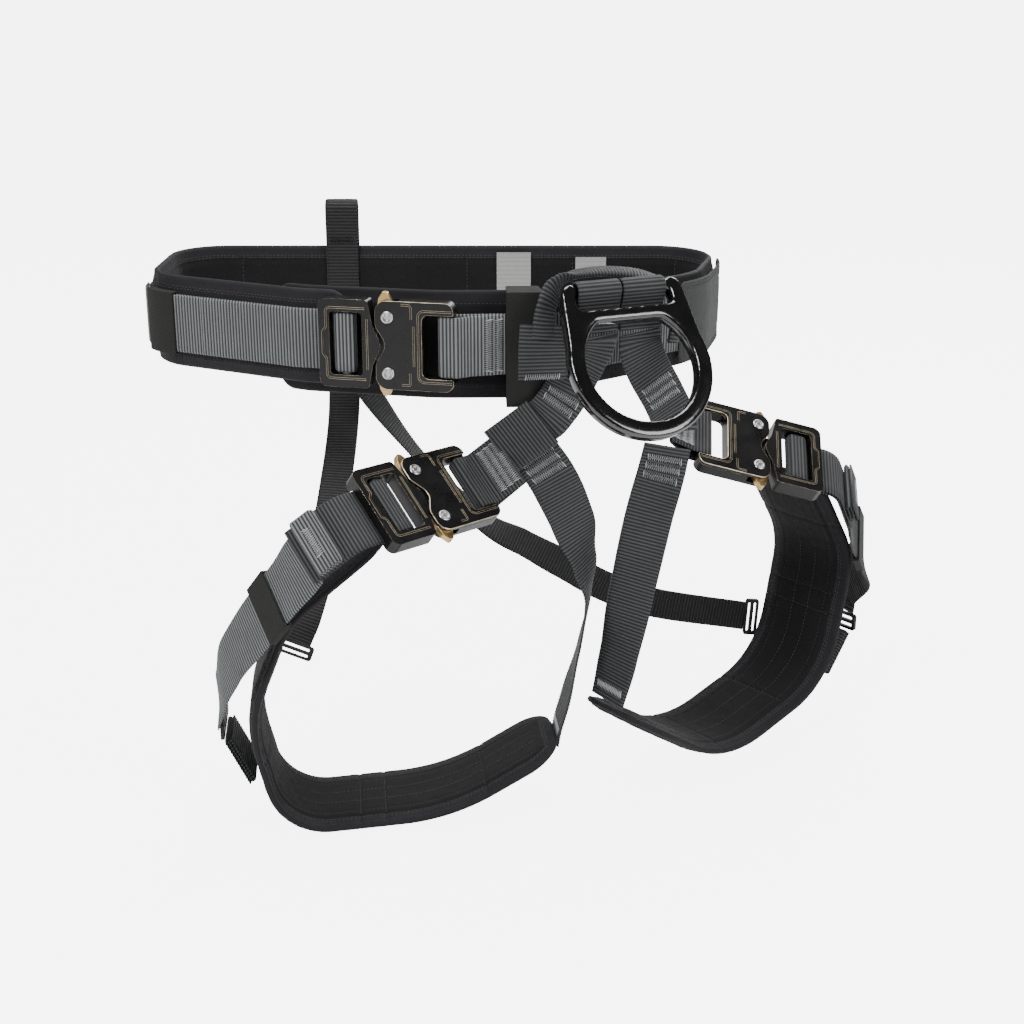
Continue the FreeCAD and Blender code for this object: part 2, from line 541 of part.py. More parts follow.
# ---------------------------------------------------------------- legs
# Right and left are the wearer's. Pad lines and the lock lie in each loop's own upright plane.
LEG_HALF = dim("leg_pad_thickness") / 2
HUNG = dim("riser_width")
LEGS = {
    "right": {
        "frame": standing((30, -120, 0), 6),
        "pad": [(66, -316, 0), (-20, -366, 160), (-150, -374, 45), (-172, -280, 100), (-140, -200, 80),
                (-64, -137, 0)],
        "buckle": Placement(Vector(0, -166, -102), Rotation(Vector(0, 0, 1), 43)
                            * Rotation(Vector(1, 0, 0), 40)),
        "hold_end": (66, 20.5),
        "lock": (-193, -291),
        "tab": [(-190, -300, 0), (-172, -338, 0)],
        "riser": [((122.4, -133.4, 9.6), (0.91, 0.41, 0)), ((122.4, -133.2, 5), (0.91, 0.41, 0)),
                  ((118, -129, -5), (0.97, 0.2, -0.1)), ((111, -124.3, -16), (0.96, 0, -0.28)),
                  ((101, -124, -36), (0.8, 0, -0.6)), ((90.4, -126.6, -50.6), (0.62, 0, -0.78)),
                  ((86.6, -127, -54.2), (0.6, 0, -0.8))],
        "crotch": [((82.8, -127, -86.4), (0.8, 0, 0.6)), ((94, -124, -104), (0.85, 0.1, 0.5)),
                   ((108, -120, -136), (0.8, 0.4, 0.3)), ((118, -117, -170), (0.5, 0.85, 0.1)),
                   ((121, -116, -202), (0.15, 0.99, 0)), ((114, -114, -245), (0.05, 0.99, 0)),
                   ((105, -113, -285), (-0.1, 0.99, 0)), ((99.6, -112.7, -309), (-0.1, 0.99, 0))],
        "strap": [((-88, -209, -140), (0.52, -0.56, -0.64))],
        "held": ((-104, -197.5, -163), (-126, -181.4, -195), (0.5, -0.7, -0.45)),
        "strap_rest": [((-149, -167, -230), (0.45, -0.8, -0.35)), ((-160, -157, -260), (0.3, -0.9, -0.2)),
                       ((-162.6, -150, -276.5), (0.1, -0.99, 0))],
        "rear": [((-84, 107, -32), (1, 0, 0)), ((-84, 96, -75), (1, 0, 0)), ((-84, 72, -112), (1, 0, 0.1)), ((-87, 30, -150), (1, 0.1, 0.1)),
                 ((-94, -20, -195), (0.95, 0.2, 0.1)), ((-106, -56, -238), (0.9, 0.3, 0)),
                 ((-113, -66, -256), (0.88, 0.4, 0))],
        "rear_lock": ((-116, -70.3, -263.6), (0.88, 0.4, 0), (-0.34, -0.48, -0.87)),
    },
    "left": {
        "frame": standing((150, -110, 0), 40),
        "pad": [(176, -132, 0), (228, -212, 60), (205, -322, 70), (80, -356, 100), (-14, -294, 0)],
        "buckle": Placement(Vector(252, -72, -94), Rotation(Vector(0, 0, 1), 5)
                            * Rotation(Vector(0, 1, 0), 16) * Rotation(Vector(1, 0, 0), 33)
                            * Rotation(Vector(0, 0, 1), 180)),
        "hold_end": (69, 6),
        "lock": (257, -286),
        "tab": [(254, -294, 0), (228, -328, 0)],
        "riser": [((155.6, -118.6, 9.6), (0.91, 0.41, 0)), ((156.5, -117, -2), (0.91, 0.38, 0.1)),
                  ((163, -111, -20), (0.82, 0.3, 0.5)), ((175, -105, -42), (0.75, 0.3, 0.55)),
                  ((184, -98, -62), (0.8, 0.2, 0.5))],
        "crotch": [((180, -103.5, -86), (0.98, 0.1, 0.15)), ((175, -104, -106), (0.98, 0, 0.1)),
                   ((166, -109, -140), (0.97, -0.2, 0)), ((154, -114, -200), (0.9, -0.4, 0)),
                   ((145, -118, -250), (0.75, -0.65, 0)), ((137, -121, -286), (0.64, -0.77, 0))],
        "strap": [((333.4, -39.6, -158.4), (0.07, 0.85, 0.52))],
        "held": ((344, -22, -177), (360, 12, -207), (0.1, 0.66, 0.74)),
        "strap_rest": [((362, 36, -236), (-0.35, 0.85, 0.3)), ((351, 52.5, -258), (-0.6, 0.78, 0.1)),
                       ((348, 54.5, -271.5), (-0.64, 0.77, 0))],
        "rear": [((-78, 85, -38), (1, 0, 0)), ((-66, 81, -80), (0.6, 0.8, 0.2)),
                 ((-18, 80, -148), (0.1, 0.98, 0.15)), ((36, 72, -203), (0.05, 0.85, 0.5)),
                 ((73, 68, -223), (0, 0.7, 0.7)), ((107, 64, -241), (0, 0.5, 0.85)),
                 ((146, 61, -262), (0, 0.3, 0.95)), ((190, 60, -277), (0.05, 0.1, 0.99)),
                 ((268, 62, -290), (0.05, 0, 1))],
        "rear_lock": ((276, 62, -291), (0.05, 0, 1), (1, 0, -0.05)),
    },
}
HOLD_START = (53, -1)


def straight(point_a, point_b, across):
    """Stations that keep a stretch between two points flat and straight, where a keeper slides."""
    start, end = Vector(*point_a), Vector(*point_b)
    way = (end - start).normalize() * 3
    return [(tuple(point), across) for point in (start - way, start, end, end + way)]


def facing(origin, across, along):
    """A frame whose own X is a strap's width, own Y its length and own Z its face."""
    way = Vector(*along).normalize()
    width = Vector(*across)
    width = (width - way * width.dot(way)).normalize()
    return Placement(Vector(*origin), Rotation(width, way, width.cross(way), "ZXY"))


def slide_strap(side, frame):
    """The webbing through a leg buckle's adjuster: two layers that turn down to the pad."""
    over = [(-97.1, -38, 0), (-70.6, OVER_Z, 22)]
    under = [(-69.4, UNDER_Z, 19.5), (-95.1, -39.5, 0)]
    return through(side + "_strap_slide", over + ADJUSTER_WRAP + under, "dims.webbing_width", frame)


def held_loop(side, frame, end):
    """The sewn webbing loop on a leg buckle's housing."""
    way = Vector(end[0] - HOLD_START[0], end[1] - HOLD_START[1]).normalize()
    normal = Vector(-way.y, way.x) * ((WEB + GAP) / 2)
    over = (end[0] + normal.x, end[1] + normal.y, 0)
    under = (end[0] - normal.x, end[1] - normal.y, 0)
    points = [over, (52.5, 4.4, 2.4)] + HOUSING_WRAP[2:3] + [(38.5, UNDER_Z, 3), (53, UNDER_Z, 6), under]
    return through(side + "_buckle_loop", points, "dims.webbing_width", frame)


def stopper(side, frame):
    """The folded and sewn end of a leg strap, lying on the strap just below the buckle."""
    corner = Vector(-70.6, OVER_Z)
    way = (Vector(-97.1, -38) - corner).normalize()
    out = Vector(way.y, -way.x)
    corners = []
    for run, rise in ((15, 1.6), (36, 1.6), (36, 8.8), (15, 8.8)):
        point = corner + way * run + out * rise
        corners.append((point.x, point.y, 2.5))
    made = body(side + "_stopper", frame)
    pad(made, sketch(made, loop(corners)), "dims.webbing_width", symmetric=True)


LOCK_RIM = 2.5
LOCK_BAR_HALF = 1.5
LEG_KEEPER_HALF = 12.5


def slotted(label, frame, half_width, half_length):
    """A small slotted webbing lock: a frame with two slots either side of a bar."""
    made = body(label, frame)
    rim = box_loop(-half_width, half_width, -half_length, half_length, LOCK_RIM)
    pad(made, sketch(made, rim), "dims.lock_thickness", symmetric=True)
    for low, high in ((-half_length + LOCK_RIM, -LOCK_BAR_HALF), (LOCK_BAR_HALF, half_length - LOCK_RIM)):
        hole = box_loop(LOCK_RIM + 0.5 - half_width, half_width - LOCK_RIM - 0.5, low, high, 1)
        pad(made, sketch(made, hole), "dims.lock_thickness + 2", symmetric=True, kind="Pocket")
    return made


for side, leg in LEGS.items():
    route = Route(leg["pad"])
    strip_body(side + "_leg_pad", route, 0, route.length, -LEG_HALF, LEG_HALF, "dims.leg_pad_width",
               leg["frame"])
    buckle(side + "_leg", leg["buckle"])
    flat = flat_in(leg["buckle"])
    slide_strap(side, flat)
    held_loop(side, flat, leg["hold_end"])
    stopper(side, flat)
    ribbon(side + "_riser", leg["riser"], HUNG, WEB)
    ribbon(side + "_crotch_strap", leg["crotch"], HUNG + 2, WEB)
    ribbon(side + "_leg_strap", leg["strap"] + straight(*leg["held"]) + leg["strap_rest"],
           dim("webbing_width"), WEB)
    ribbon(side + "_rear_riser", leg["rear"], dim("rear_riser_width"), dim("rear_riser_thickness"))

    start, end, across = leg["held"]
    middle = (Vector(*start) + Vector(*end)) * 0.5
    keeper_frame = facing(middle, across, Vector(*end) - Vector(*start))
    sleeve = body(side + "_leg_keeper", keeper_frame)
    long = LEG_KEEPER_HALF
    wide = dim("webbing_width") / 2 + 0.5
    pad(sleeve, sketch(sleeve, box_loop(-wide - wall, wide + wall, -long, long)),
        "dims.webbing_thickness + 2 * dims.layer_gap + 2 * dims.keeper_wall", symmetric=True)
    pad(sleeve, sketch(sleeve, box_loop(-wide, wide, -long - 1, long + 1)),
        "dims.webbing_thickness + 2 * dims.layer_gap", symmetric=True, kind="Pocket")

    lock_frame = leg["frame"] * Placement(Vector(*leg["lock"], 0), Rotation(Vector(0, 1, 0), 90))
    slotted(side + "_ladder_lock", lock_frame, dim("webbing_width") / 2 + 4, 7.5)
    tab = Route(leg["tab"])
    strip_body(side + "_lock_tab", tab, 0, tab.length, -3.5, 3.5, "dims.webbing_width", leg["frame"])

rings = []
for side, leg in LEGS.items():
    ring_lock = slotted(side + "_riser_lock", facing(*leg["rear_lock"]),
                        dim("rear_riser_width") / 2 + 3.5, 6)
    rings.append(ring_lock)
    parts.remove(ring_lock)
doc.recompute()
feature("riser_adjusters", Part.makeCompound([item.Shape for item in rings]))

# The patch that joins riser, buckle loop and crotch strap on the right leg.
patch = body("right_y_patch", standing((69, -127, -68), 0) * Placement(Vector(), Rotation(Vector(0, 0, 1), 37)))
pad(patch, sketch(patch, box_loop(-20, 20, -20, 20, 1.5)), "dims.patch_thickness", symmetric=True)

# The doubled webbing arch between the belt and the ring.
BRIDGE_FLAT = [((84, -135, -22), (1, 0.1, 0)), ((84, -135.5, 0), (1, 0.1, 0)),
               ((84.5, -134.5, 10), (1, 0.15, 0))]
BRIDGE_ROLLED = [((85.5, -133, 22), (0.9, 0.4, 0)), ((88, -129, 34), (0.75, 0.65, 0)),
                 ((94, -118, 44), (0.5, 0.85, 0)), ((109, -103, 49), (0.3, 0.95, 0.03)),
                 ((136, -91, 49), (0.2, 0.98, 0.05)), ((160, -84, 44), (0.2, 0.97, 0.1)),
                 ((178, -78, 33), (0.35, 0.93, 0)), ((186, -75, 14), (0.35, 0.93, 0)),
                 ((184, -78, -8), (0.5, 0.85, 0))]
ROLL_WIDTH = 18
ROLL_THICKNESS = 6
skin("bridge", sections(BRIDGE_FLAT, HUNG, WEB)
     + sections(BRIDGE_ROLLED, ROLL_WIDTH, ROLL_THICKNESS))

# ---------------------------------------------------------------- write
doc.recompute()
for item in doc.Objects:
    if "Invalid" in item.State or "Error" in item.State:
        raise RuntimeError("failed: " + item.Label)
for part in parts:
    if part.Shape.isNull() or not part.Shape.isValid():
        raise RuntimeError("bad shape: " + part.Label)
    part.Shape.exportStep("parts/%s.step" % part.Label)
print(len(parts), "sub-parts")
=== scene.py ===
"""Looks of a tree climbing saddle: webbing, padding, stitching, buckles and ring round its moving frame."""

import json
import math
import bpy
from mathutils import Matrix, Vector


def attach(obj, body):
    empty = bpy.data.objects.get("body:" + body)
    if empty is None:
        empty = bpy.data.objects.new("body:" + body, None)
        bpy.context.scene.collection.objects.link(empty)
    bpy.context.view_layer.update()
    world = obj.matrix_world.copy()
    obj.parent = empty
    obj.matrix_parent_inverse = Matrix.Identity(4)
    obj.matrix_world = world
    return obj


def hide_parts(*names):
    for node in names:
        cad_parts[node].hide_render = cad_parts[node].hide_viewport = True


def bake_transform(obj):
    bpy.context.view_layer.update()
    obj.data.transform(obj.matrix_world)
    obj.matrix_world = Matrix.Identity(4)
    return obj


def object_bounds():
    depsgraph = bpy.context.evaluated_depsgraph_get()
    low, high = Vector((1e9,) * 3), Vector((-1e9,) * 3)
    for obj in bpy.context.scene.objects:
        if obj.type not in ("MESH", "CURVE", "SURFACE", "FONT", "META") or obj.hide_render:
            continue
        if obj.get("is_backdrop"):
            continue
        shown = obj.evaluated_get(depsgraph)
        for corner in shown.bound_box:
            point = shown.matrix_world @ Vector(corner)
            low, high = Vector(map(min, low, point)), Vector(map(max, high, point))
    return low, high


bl_info = {
    "name": "Tree climbing saddle",
    "version": (1, 0, 0),
    "blender": (4, 5, 0),
    "location": "View3D > Sidebar > Saddle",
    "description": "Builds the webbing, padding, stitching and metalwork of a tree climbing saddle",
    "category": "Object",
}

from contextlib import contextmanager

import bmesh
import bpy
from mathutils import Matrix, Vector, noise

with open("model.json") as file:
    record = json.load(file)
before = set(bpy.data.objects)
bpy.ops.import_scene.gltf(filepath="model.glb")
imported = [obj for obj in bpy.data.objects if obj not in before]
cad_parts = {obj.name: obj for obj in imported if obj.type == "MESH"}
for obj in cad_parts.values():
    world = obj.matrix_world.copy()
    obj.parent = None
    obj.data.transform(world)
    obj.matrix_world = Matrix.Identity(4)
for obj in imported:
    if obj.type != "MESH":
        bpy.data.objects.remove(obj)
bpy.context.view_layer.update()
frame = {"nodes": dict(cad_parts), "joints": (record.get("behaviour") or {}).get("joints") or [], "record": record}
MM = 0.001
JOINTS = {joint["name"]: joint for joint in frame["joints"]}
BUCKLES = ("waist", "right_leg", "left_leg")


# ---------------------------------------------------------------- sizes and colours
class SaddleSizes(bpy.types.PropertyGroup):
    """Sizes of the soft parts and their stitching."""
    webbing_width: bpy.props.FloatProperty(
        name="Webbing width", description="Width of the main straps", default=0.045, subtype="DISTANCE")
    webbing_thickness: bpy.props.FloatProperty(
        name="Webbing thickness", description="Thickness over the ribs", default=0.0022,
        subtype="DISTANCE")
    riser_width: bpy.props.FloatProperty(
        name="Riser width", description="Width of the front risers", default=0.035,
        subtype="DISTANCE")
    rib_pitch: bpy.props.FloatProperty(
        name="Rib pitch", description="Distance between two ribs of the webbing", default=0.0027,
        subtype="DISTANCE")
    rib_depth: bpy.props.FloatProperty(
        name="Rib depth", description="Depth of the valleys between ribs", default=0.00052,
        subtype="DISTANCE")
    binding_width: bpy.props.FloatProperty(
        name="Binding width", description="Width of the edge binding on a pad's face",
        default=0.011, subtype="DISTANCE")
    stitch_length: bpy.props.FloatProperty(
        name="Stitch length", description="Distance between two stitches", default=0.0032,
        subtype="DISTANCE")
    edge_round: bpy.props.FloatProperty(
        name="Metal edge rounding", description="Radius on the buckles' edges", default=0.0009,
        subtype="DISTANCE")


class SaddleColours(bpy.types.PropertyGroup):
    """Colours of yarns, coats and metals."""
    pale_yarn: bpy.props.FloatVectorProperty(
        name="Waist yarn", description="Rib colour of the waist strap", subtype="COLOR", size=3,
        min=0.0, max=1.0, default=(0.17, 0.182, 0.184))
    dark_yarn: bpy.props.FloatVectorProperty(
        name="Strap yarn", description="Rib colour of the other straps", subtype="COLOR", size=3,
        min=0.0, max=1.0, default=(0.046, 0.049, 0.052))
    pad_twill: bpy.props.FloatVectorProperty(
        name="Pad twill", description="Outer cloth of the pads", subtype="COLOR", size=3,
        min=0.0, max=1.0, default=(0.0125, 0.011, 0.0135))
    thread: bpy.props.FloatVectorProperty(
        name="Thread", description="Colour of the bar tacks", subtype="COLOR", size=3,
        min=0.0, max=1.0, default=(0.42, 0.44, 0.45))
    brass: bpy.props.FloatVectorProperty(
        name="Lever metal", description="Colour of the release levers", subtype="COLOR", size=3,
        min=0.0, max=1.0, default=(0.72, 0.5, 0.24))


# ---------------------------------------------------------------- node helpers
class Wire:
    """An output socket; arithmetic on it adds Math nodes."""

    def __init__(self, tree, socket):
        self.tree = tree
        self.socket = socket

    def sum_of(self, operation, *values):
        return self.tree.add("ShaderNodeMath", {"operation": operation}, dict(enumerate(values)))

    def __add__(self, other):
        return self.sum_of("ADD", self, other)

    def __sub__(self, other):
        return self.sum_of("SUBTRACT", self, other)

    def __rsub__(self, other):
        return self.sum_of("SUBTRACT", other, self)

    def __mul__(self, other):
        return self.sum_of("MULTIPLY", self, other)

    def __truediv__(self, other):
        return self.sum_of("DIVIDE", self, other)

    __radd__ = __add__
    __rmul__ = __mul__

    def sine(self):
        return self.sum_of("SINE", self)

    def band(self, low, high):
        """0 below low, 1 above high, with an even slope between."""
        return self.tree.add("ShaderNodeMapRange", {"clamp": True},
                             {"Value": self, "From Min": low, "From Max": high})


class Tree:
    """Adds nodes to a shader or geometry tree."""

    def __init__(self, tree):
        self.tree = tree

    def add(self, kind, settings=None, inputs=None, output=0):
        node = self.tree.nodes.new(kind)
        for name, value in (settings or {}).items():
            setattr(node, name, value)
        for key, value in (inputs or {}).items():
            if isinstance(value, Wire):
                self.tree.links.new(value.socket, node.inputs[key])
            else:
                node.inputs[key].default_value = value
        return Wire(self, node.outputs[output])

    def mix(self, factor, first, second):
        return self.add("ShaderNodeMix", {"data_type": "RGBA", "clamp_factor": True},
                        {0: factor, 6: first, 7: second}, 2)

    def noise(self, where, scale, detail=3.0):
        return self.add("ShaderNodeTexNoise", None,
                        {"Vector": where, "Scale": scale, "Detail": detail})

    def place(self, source):
        return self.add("ShaderNodeTexCoord", None, None, source)

    def axes(self, vector):
        split = self.add("ShaderNodeSeparateXYZ", None, {0: vector})
        outputs = split.socket.node.outputs
        return [Wire(self, outputs[index]) for index in range(3)]


def shade(colour):
    """A colour with its alpha."""
    return (*colour, 1.0)


MATERIALS = {}


class Paint(Tree):
    """The tree of a new principled material, with its steady values set on the sockets."""

    def __init__(self, name, steady):
        made = bpy.data.materials.new(name)
        made.use_nodes = True
        super().__init__(made.node_tree)
        self.surface = next(node for node in self.tree.nodes if node.type == "BSDF_PRINCIPLED")
        for key, value in steady.items():
            self.surface.inputs[key].default_value = value
        MATERIALS[name] = made

    def connect(self, key, wire):
        self.tree.links.new(wire.socket, self.surface.inputs[key])

    def colour(self, factor, low, high):
        self.connect("Base Color", self.mix(factor, shade(low), shade(high)))

    def bump(self, height, strength, distance):
        self.connect("Normal", self.add("ShaderNodeBump", None, {
            "Strength": strength, "Distance": distance, "Height": height}))


def webbing_material(name, yarn, valley_shade, sheen):
    """Ribbed webbing: painted highlight on the crests, painted shade in the valleys and fine yarns running along
    the strap.
    """
    tree = Paint(name, {"Sheen Weight": sheen, "Sheen Roughness": 0.45, "Specular IOR Level": 0.35})
    u, v, _ = tree.axes(tree.place("UV"))
    turn = 2 * math.pi / bpy.context.scene.saddle_sizes.rib_pitch
    rib = (v * turn).sine() * 0.5 + 0.5
    yarns = (u * 5200.0 + (v * 900.0).sine() * 0.8).sine() * 0.5 + 0.5
    blotch = tree.noise(tree.place("Object"), 45.0, 4.0)
    fibre = tree.noise(tree.place("UV"), 2600.0, 2.0)
    # Painted light: the rib wave lifts the crests towards the yarn colour as a painted highlight and drops the
    # valleys to the valley colour as painted shade.
    lit = rib.band(0.12, 1.0) * (0.7 + 0.3 * yarns) * (0.75 + 0.5 * blotch) * (0.7 + 0.6 * fibre)
    tree.colour(lit, valley_shade, yarn)
    tree.connect("Roughness", 0.72 - 0.2 * rib + 0.1 * fibre)
    tree.bump(yarns * 0.6 + fibre * 0.5, 0.35, 0.0002)


def twill_material(name, low, high, pitch, rough, zigzag):
    """Close cloth with a diagonal or herringbone twill, drawn on the pad's own UV map."""
    tree = Paint(name, {"Sheen Weight": 0.06, "Sheen Roughness": 0.5, "Specular IOR Level": 0.25})
    u, v, _ = tree.axes(tree.place("UV"))
    turn = 2 * math.pi / pitch
    fold = tree.add("ShaderNodeMath", {"operation": "PINGPONG"}, {0: u, 1: zigzag})
    line = ((fold + v) * turn).sine() * 0.5 + 0.5
    cross = (v * turn * 1.7).sine() * 0.5 + 0.5
    fibre = tree.noise(tree.place("UV"), 1900.0, 3.0)
    dust = tree.noise(tree.place("Object"), 30.0, 5.0)
    lit = (0.65 * line + 0.2 * cross + 0.3 * fibre) * (0.7 + 0.6 * dust)
    tree.colour(lit, low, high)
    tree.connect("Roughness", rough - 0.15 * line + 0.1 * fibre)
    tree.bump(line * 0.7 + fibre * 0.5, 0.5, 0.0003)


def weave_material(name, low, high, pitch, source, rough):
    """Plain tight weave for bindings, keepers and linings."""
    tree = Paint(name, {"Sheen Weight": 0.04, "Specular IOR Level": 0.2})
    place = tree.place(source)
    x, y, z = tree.axes(place)
    turn = 2 * math.pi / pitch
    warp = (x * turn).sine() * ((y + z) * turn).sine() * 0.5 + 0.5
    fibre = tree.noise(place, 1500.0, 3.0)
    dust = tree.noise(tree.place("Object"), 28.0, 5.0)
    lit = (0.6 * warp + 0.5 * fibre) * (0.6 + 0.8 * dust)
    tree.colour(lit, low, high)
    tree.connect("Roughness", rough + 0.12 * fibre - 0.08 * warp)
    tree.bump(warp * 0.6 + fibre * 0.4, 0.45, 0.00025)


def metal_material(name, low, high, metal, rough, coat, scratch):
    """Coated or bare metal with brushing, smudges and fine scratches."""
    tree = Paint(name, {"Metallic": metal, "Coat Roughness": 0.12, "Coat Weight": coat})
    place = tree.place("Object")
    smudge = tree.noise(place, 60.0, 5.0)
    grain = tree.noise(place, 900.0, 3.0)
    stretched = tree.add("ShaderNodeMapping", None, {"Vector": place, "Scale": (1500.0, 1500.0, 60.0)})
    brushed = tree.noise(stretched, 1.0, 2.0)
    lit = smudge * 0.7 + grain * 0.3
    tree.colour(lit.band(0.3, 0.75), low, high)
    tree.connect("Roughness", rough + 0.22 * smudge + 0.1 * grain - 0.12)
    tree.bump(grain * 0.4 + brushed * scratch, 0.12, 0.0002)


def worn_material(name, coat, bare):
    """A coated edge worn through to bright metal in places."""
    tree = Paint(name, {"Specular IOR Level": 0.6})
    place = tree.place("Object")
    patchy = tree.noise(place, 120.0, 6.0)
    broad = tree.noise(place, 22.0, 2.0)
    wear = (patchy * 0.55 + broad * 0.55).band(0.38, 0.54)
    tree.colour(wear, coat, bare)
    tree.connect("Metallic", 0.55 + 0.45 * wear)
    tree.connect("Roughness", 0.34 - 0.08 * wear + 0.1 * patchy)


def label_material(name, paper, ink):
    """A woven label: satin ground with faint rows of blank filler."""
    tree = Paint(name, {"Sheen Weight": 0.3})
    u, v, _ = tree.axes(tree.place("UV"))
    rows = (v * 1700.0).sine().band(0.5, 0.8)
    threads = (u * 9000.0).sine() * 0.5 + 0.5
    fibre = tree.noise(tree.place("UV"), 700.0, 3.0)
    tree.colour(rows * 0.35 * fibre + 0.12 * threads, paper, ink)
    tree.connect("Roughness", 0.5 + 0.2 * fibre)
    tree.bump(threads, 0.2, 0.0001)


def make_materials(colours):
    # The second colour of each webbing is the painted shade in its rib valleys.
    webbing_material("pale_webbing", colours.pale_yarn, (0.014, 0.015, 0.016), 0.12)
    webbing_material("dark_webbing", colours.dark_yarn, (0.0045, 0.005, 0.0055), 0.08)
    webbing_material("black_webbing", (0.017, 0.0175, 0.019), (0.003, 0.003, 0.0035), 0.06)
    twill_material("pad_twill", (0.004, 0.0035, 0.0045), colours.pad_twill, 0.0016, 0.82, 0.012)
    twill_material("side_cloth", (0.014, 0.0155, 0.015), (0.05, 0.056, 0.053), 0.0012, 0.78, 0.5)
    weave_material("binding", (0.004, 0.0035, 0.0045), (0.0165, 0.0145, 0.018), 0.0011, "UV", 0.7)
    weave_material("lining", (0.0015, 0.0015, 0.0015), (0.009, 0.009, 0.009), 0.0021, "UV", 0.85)
    weave_material("keeper_weave", (0.003, 0.003, 0.003), (0.02, 0.02, 0.0185), 0.0014, "Object", 0.8)
    weave_material("thread", [c * 0.5 for c in colours.thread], colours.thread, 0.0012, "Object", 0.6)
    weave_material("dark_thread", (0.016, 0.016, 0.017), (0.06, 0.06, 0.064), 0.0012, "Object", 0.7)
    metal_material("ring_coat", (0.0012, 0.0012, 0.0014), (0.003, 0.003, 0.0034), 0.0, 0.1, 1.0, 0.0)
    metal_material("black_coat", (0.004, 0.004, 0.0045), (0.013, 0.0125, 0.0125), 0.5, 0.26, 0.1, 0.5)
    metal_material("steel", (0.42, 0.42, 0.42), (0.66, 0.65, 0.63), 1.0, 0.3, 0.0, 0.8)
    metal_material("lever_brass", [c * 0.7 for c in colours.brass], colours.brass, 1.0, 0.28, 0.0, 0.6)
    metal_material("lock_metal", (0.008, 0.008, 0.009), (0.035, 0.035, 0.038), 0.8, 0.36, 0.0, 0.6)
    worn_material("worn_edge", (0.02, 0.018, 0.016), (0.66, 0.55, 0.4))
    metal_material("engraving", (0.2, 0.165, 0.11), (0.42, 0.36, 0.26), 0.7, 0.4, 0.0, 0.3)
    label_material("label_cloth", (0.3, 0.3, 0.295), (0.03, 0.03, 0.03))


# ---------------------------------------------------------------- geometry node trees
def new_group(name, inputs):
    """A geometry tree with named inputs; returns the tree, its helper and its input wires."""
    group = bpy.data.node_groups.new(name, "GeometryNodeTree")
    group.interface.new_socket("Geometry", in_out="INPUT", socket_type="NodeSocketGeometry")
    for label, kind in inputs:
        group.interface.new_socket(label, in_out="INPUT", socket_type=kind)
    group.interface.new_socket("Geometry", in_out="OUTPUT", socket_type="NodeSocketGeometry")
    tree = Tree(group)
    source = group.nodes.new("NodeGroupInput")
    wires = [Wire(tree, output) for output in source.outputs]
    return group, tree, wires


def close_group(group, tree, geometry, material):
    """Ends a tree with real geometry in one material."""
    real = tree.add("GeometryNodeRealizeInstances", None, {0: geometry})
    painted = tree.add("GeometryNodeSetMaterial", None, {"Geometry": real, "Material": material})
    group.links.new(painted.socket, group.nodes.new("NodeGroupOutput").inputs[0])
    return group


def rib_group():
    """Presses valleys into webbing along its run."""
    group, tree, (mesh, pitch, depth, material, _) = new_group(
        "webbing_ribs", [("Pitch", "NodeSocketFloat"), ("Depth", "NodeSocketFloat"),
                         ("Material", "NodeSocketMaterial")])
    run = tree.add("GeometryNodeInputNamedAttribute", {"data_type": "FLOAT"}, {"Name": "run"})
    face = tree.add("GeometryNodeInputNamedAttribute", {"data_type": "FLOAT"}, {"Name": "face"})
    wave = 0.5 - (run * (2 * math.pi) / pitch).sine() * 0.5
    normal = tree.add("GeometryNodeInputNormal")
    inward = tree.add("ShaderNodeVectorMath", {"operation": "SCALE"},
                      {0: normal, "Scale": wave * depth * face * -1.0})
    moved = tree.add("GeometryNodeSetPosition", None, {"Geometry": mesh, "Offset": inward})
    return close_group(group, tree, moved, material)


def stitch_group():
    """Lays thread stitches end to end along polylines."""
    group, tree, (mesh, length, radius, material, _) = new_group(
        "stitch_row", [("Length", "NodeSocketFloat"), ("Radius", "NodeSocketFloat"),
                       ("Material", "NodeSocketMaterial")])
    curve = tree.add("GeometryNodeMeshToCurve", None, {"Mesh": mesh})
    points = tree.add("GeometryNodeResampleCurve", {"mode": "LENGTH"},
                      {"Curve": curve, "Length": length})
    tangent = tree.add("GeometryNodeInputTangent")
    turn = tree.add("FunctionNodeAlignRotationToVector", {"axis": "Z"}, {"Vector": tangent})
    bead = tree.add("GeometryNodeMeshIcoSphere", None, {"Radius": 1.0, "Subdivisions": 1})
    stretch = tree.add("ShaderNodeCombineXYZ", None, {0: radius, 1: radius, 2: length * 0.4})
    laid = tree.add("GeometryNodeInstanceOnPoints", None,
                    {"Points": points, "Instance": bead, "Rotation": turn, "Scale": stretch})
    return close_group(group, tree, laid, material)


def thread_group():
    """Draws continuous thread along polylines."""
    group, tree, (mesh, radius, material, _) = new_group(
        "thread_line", [("Radius", "NodeSocketFloat"), ("Material", "NodeSocketMaterial")])
    curve = tree.add("GeometryNodeMeshToCurve", None, {"Mesh": mesh})
    ring = tree.add("GeometryNodeCurvePrimitiveCircle", None, {"Resolution": 5, "Radius": radius})
    drawn = tree.add("GeometryNodeCurveToMesh", None,
                     {"Curve": curve, "Profile Curve": ring, "Fill Caps": True})
    return close_group(group, tree, drawn, material)


GROUPS = {}


def run_group(obj, group, values):
    """Applies a geometry tree to an object and leaves a plain mesh behind."""
    modifier = obj.modifiers.new("build", "NODES")
    modifier.node_group = group
    for item in group.interface.items_tree:
        if item.in_out == "INPUT" and item.name in values:
            modifier[item.identifier] = values[item.name]
    depsgraph = bpy.context.evaluated_depsgraph_get()
    mesh = bpy.data.meshes.new_from_object(obj.evaluated_get(depsgraph))
    obj.modifiers.remove(modifier)
    old = obj.data
    obj.data = mesh
    bpy.data.meshes.remove(old)
    return obj


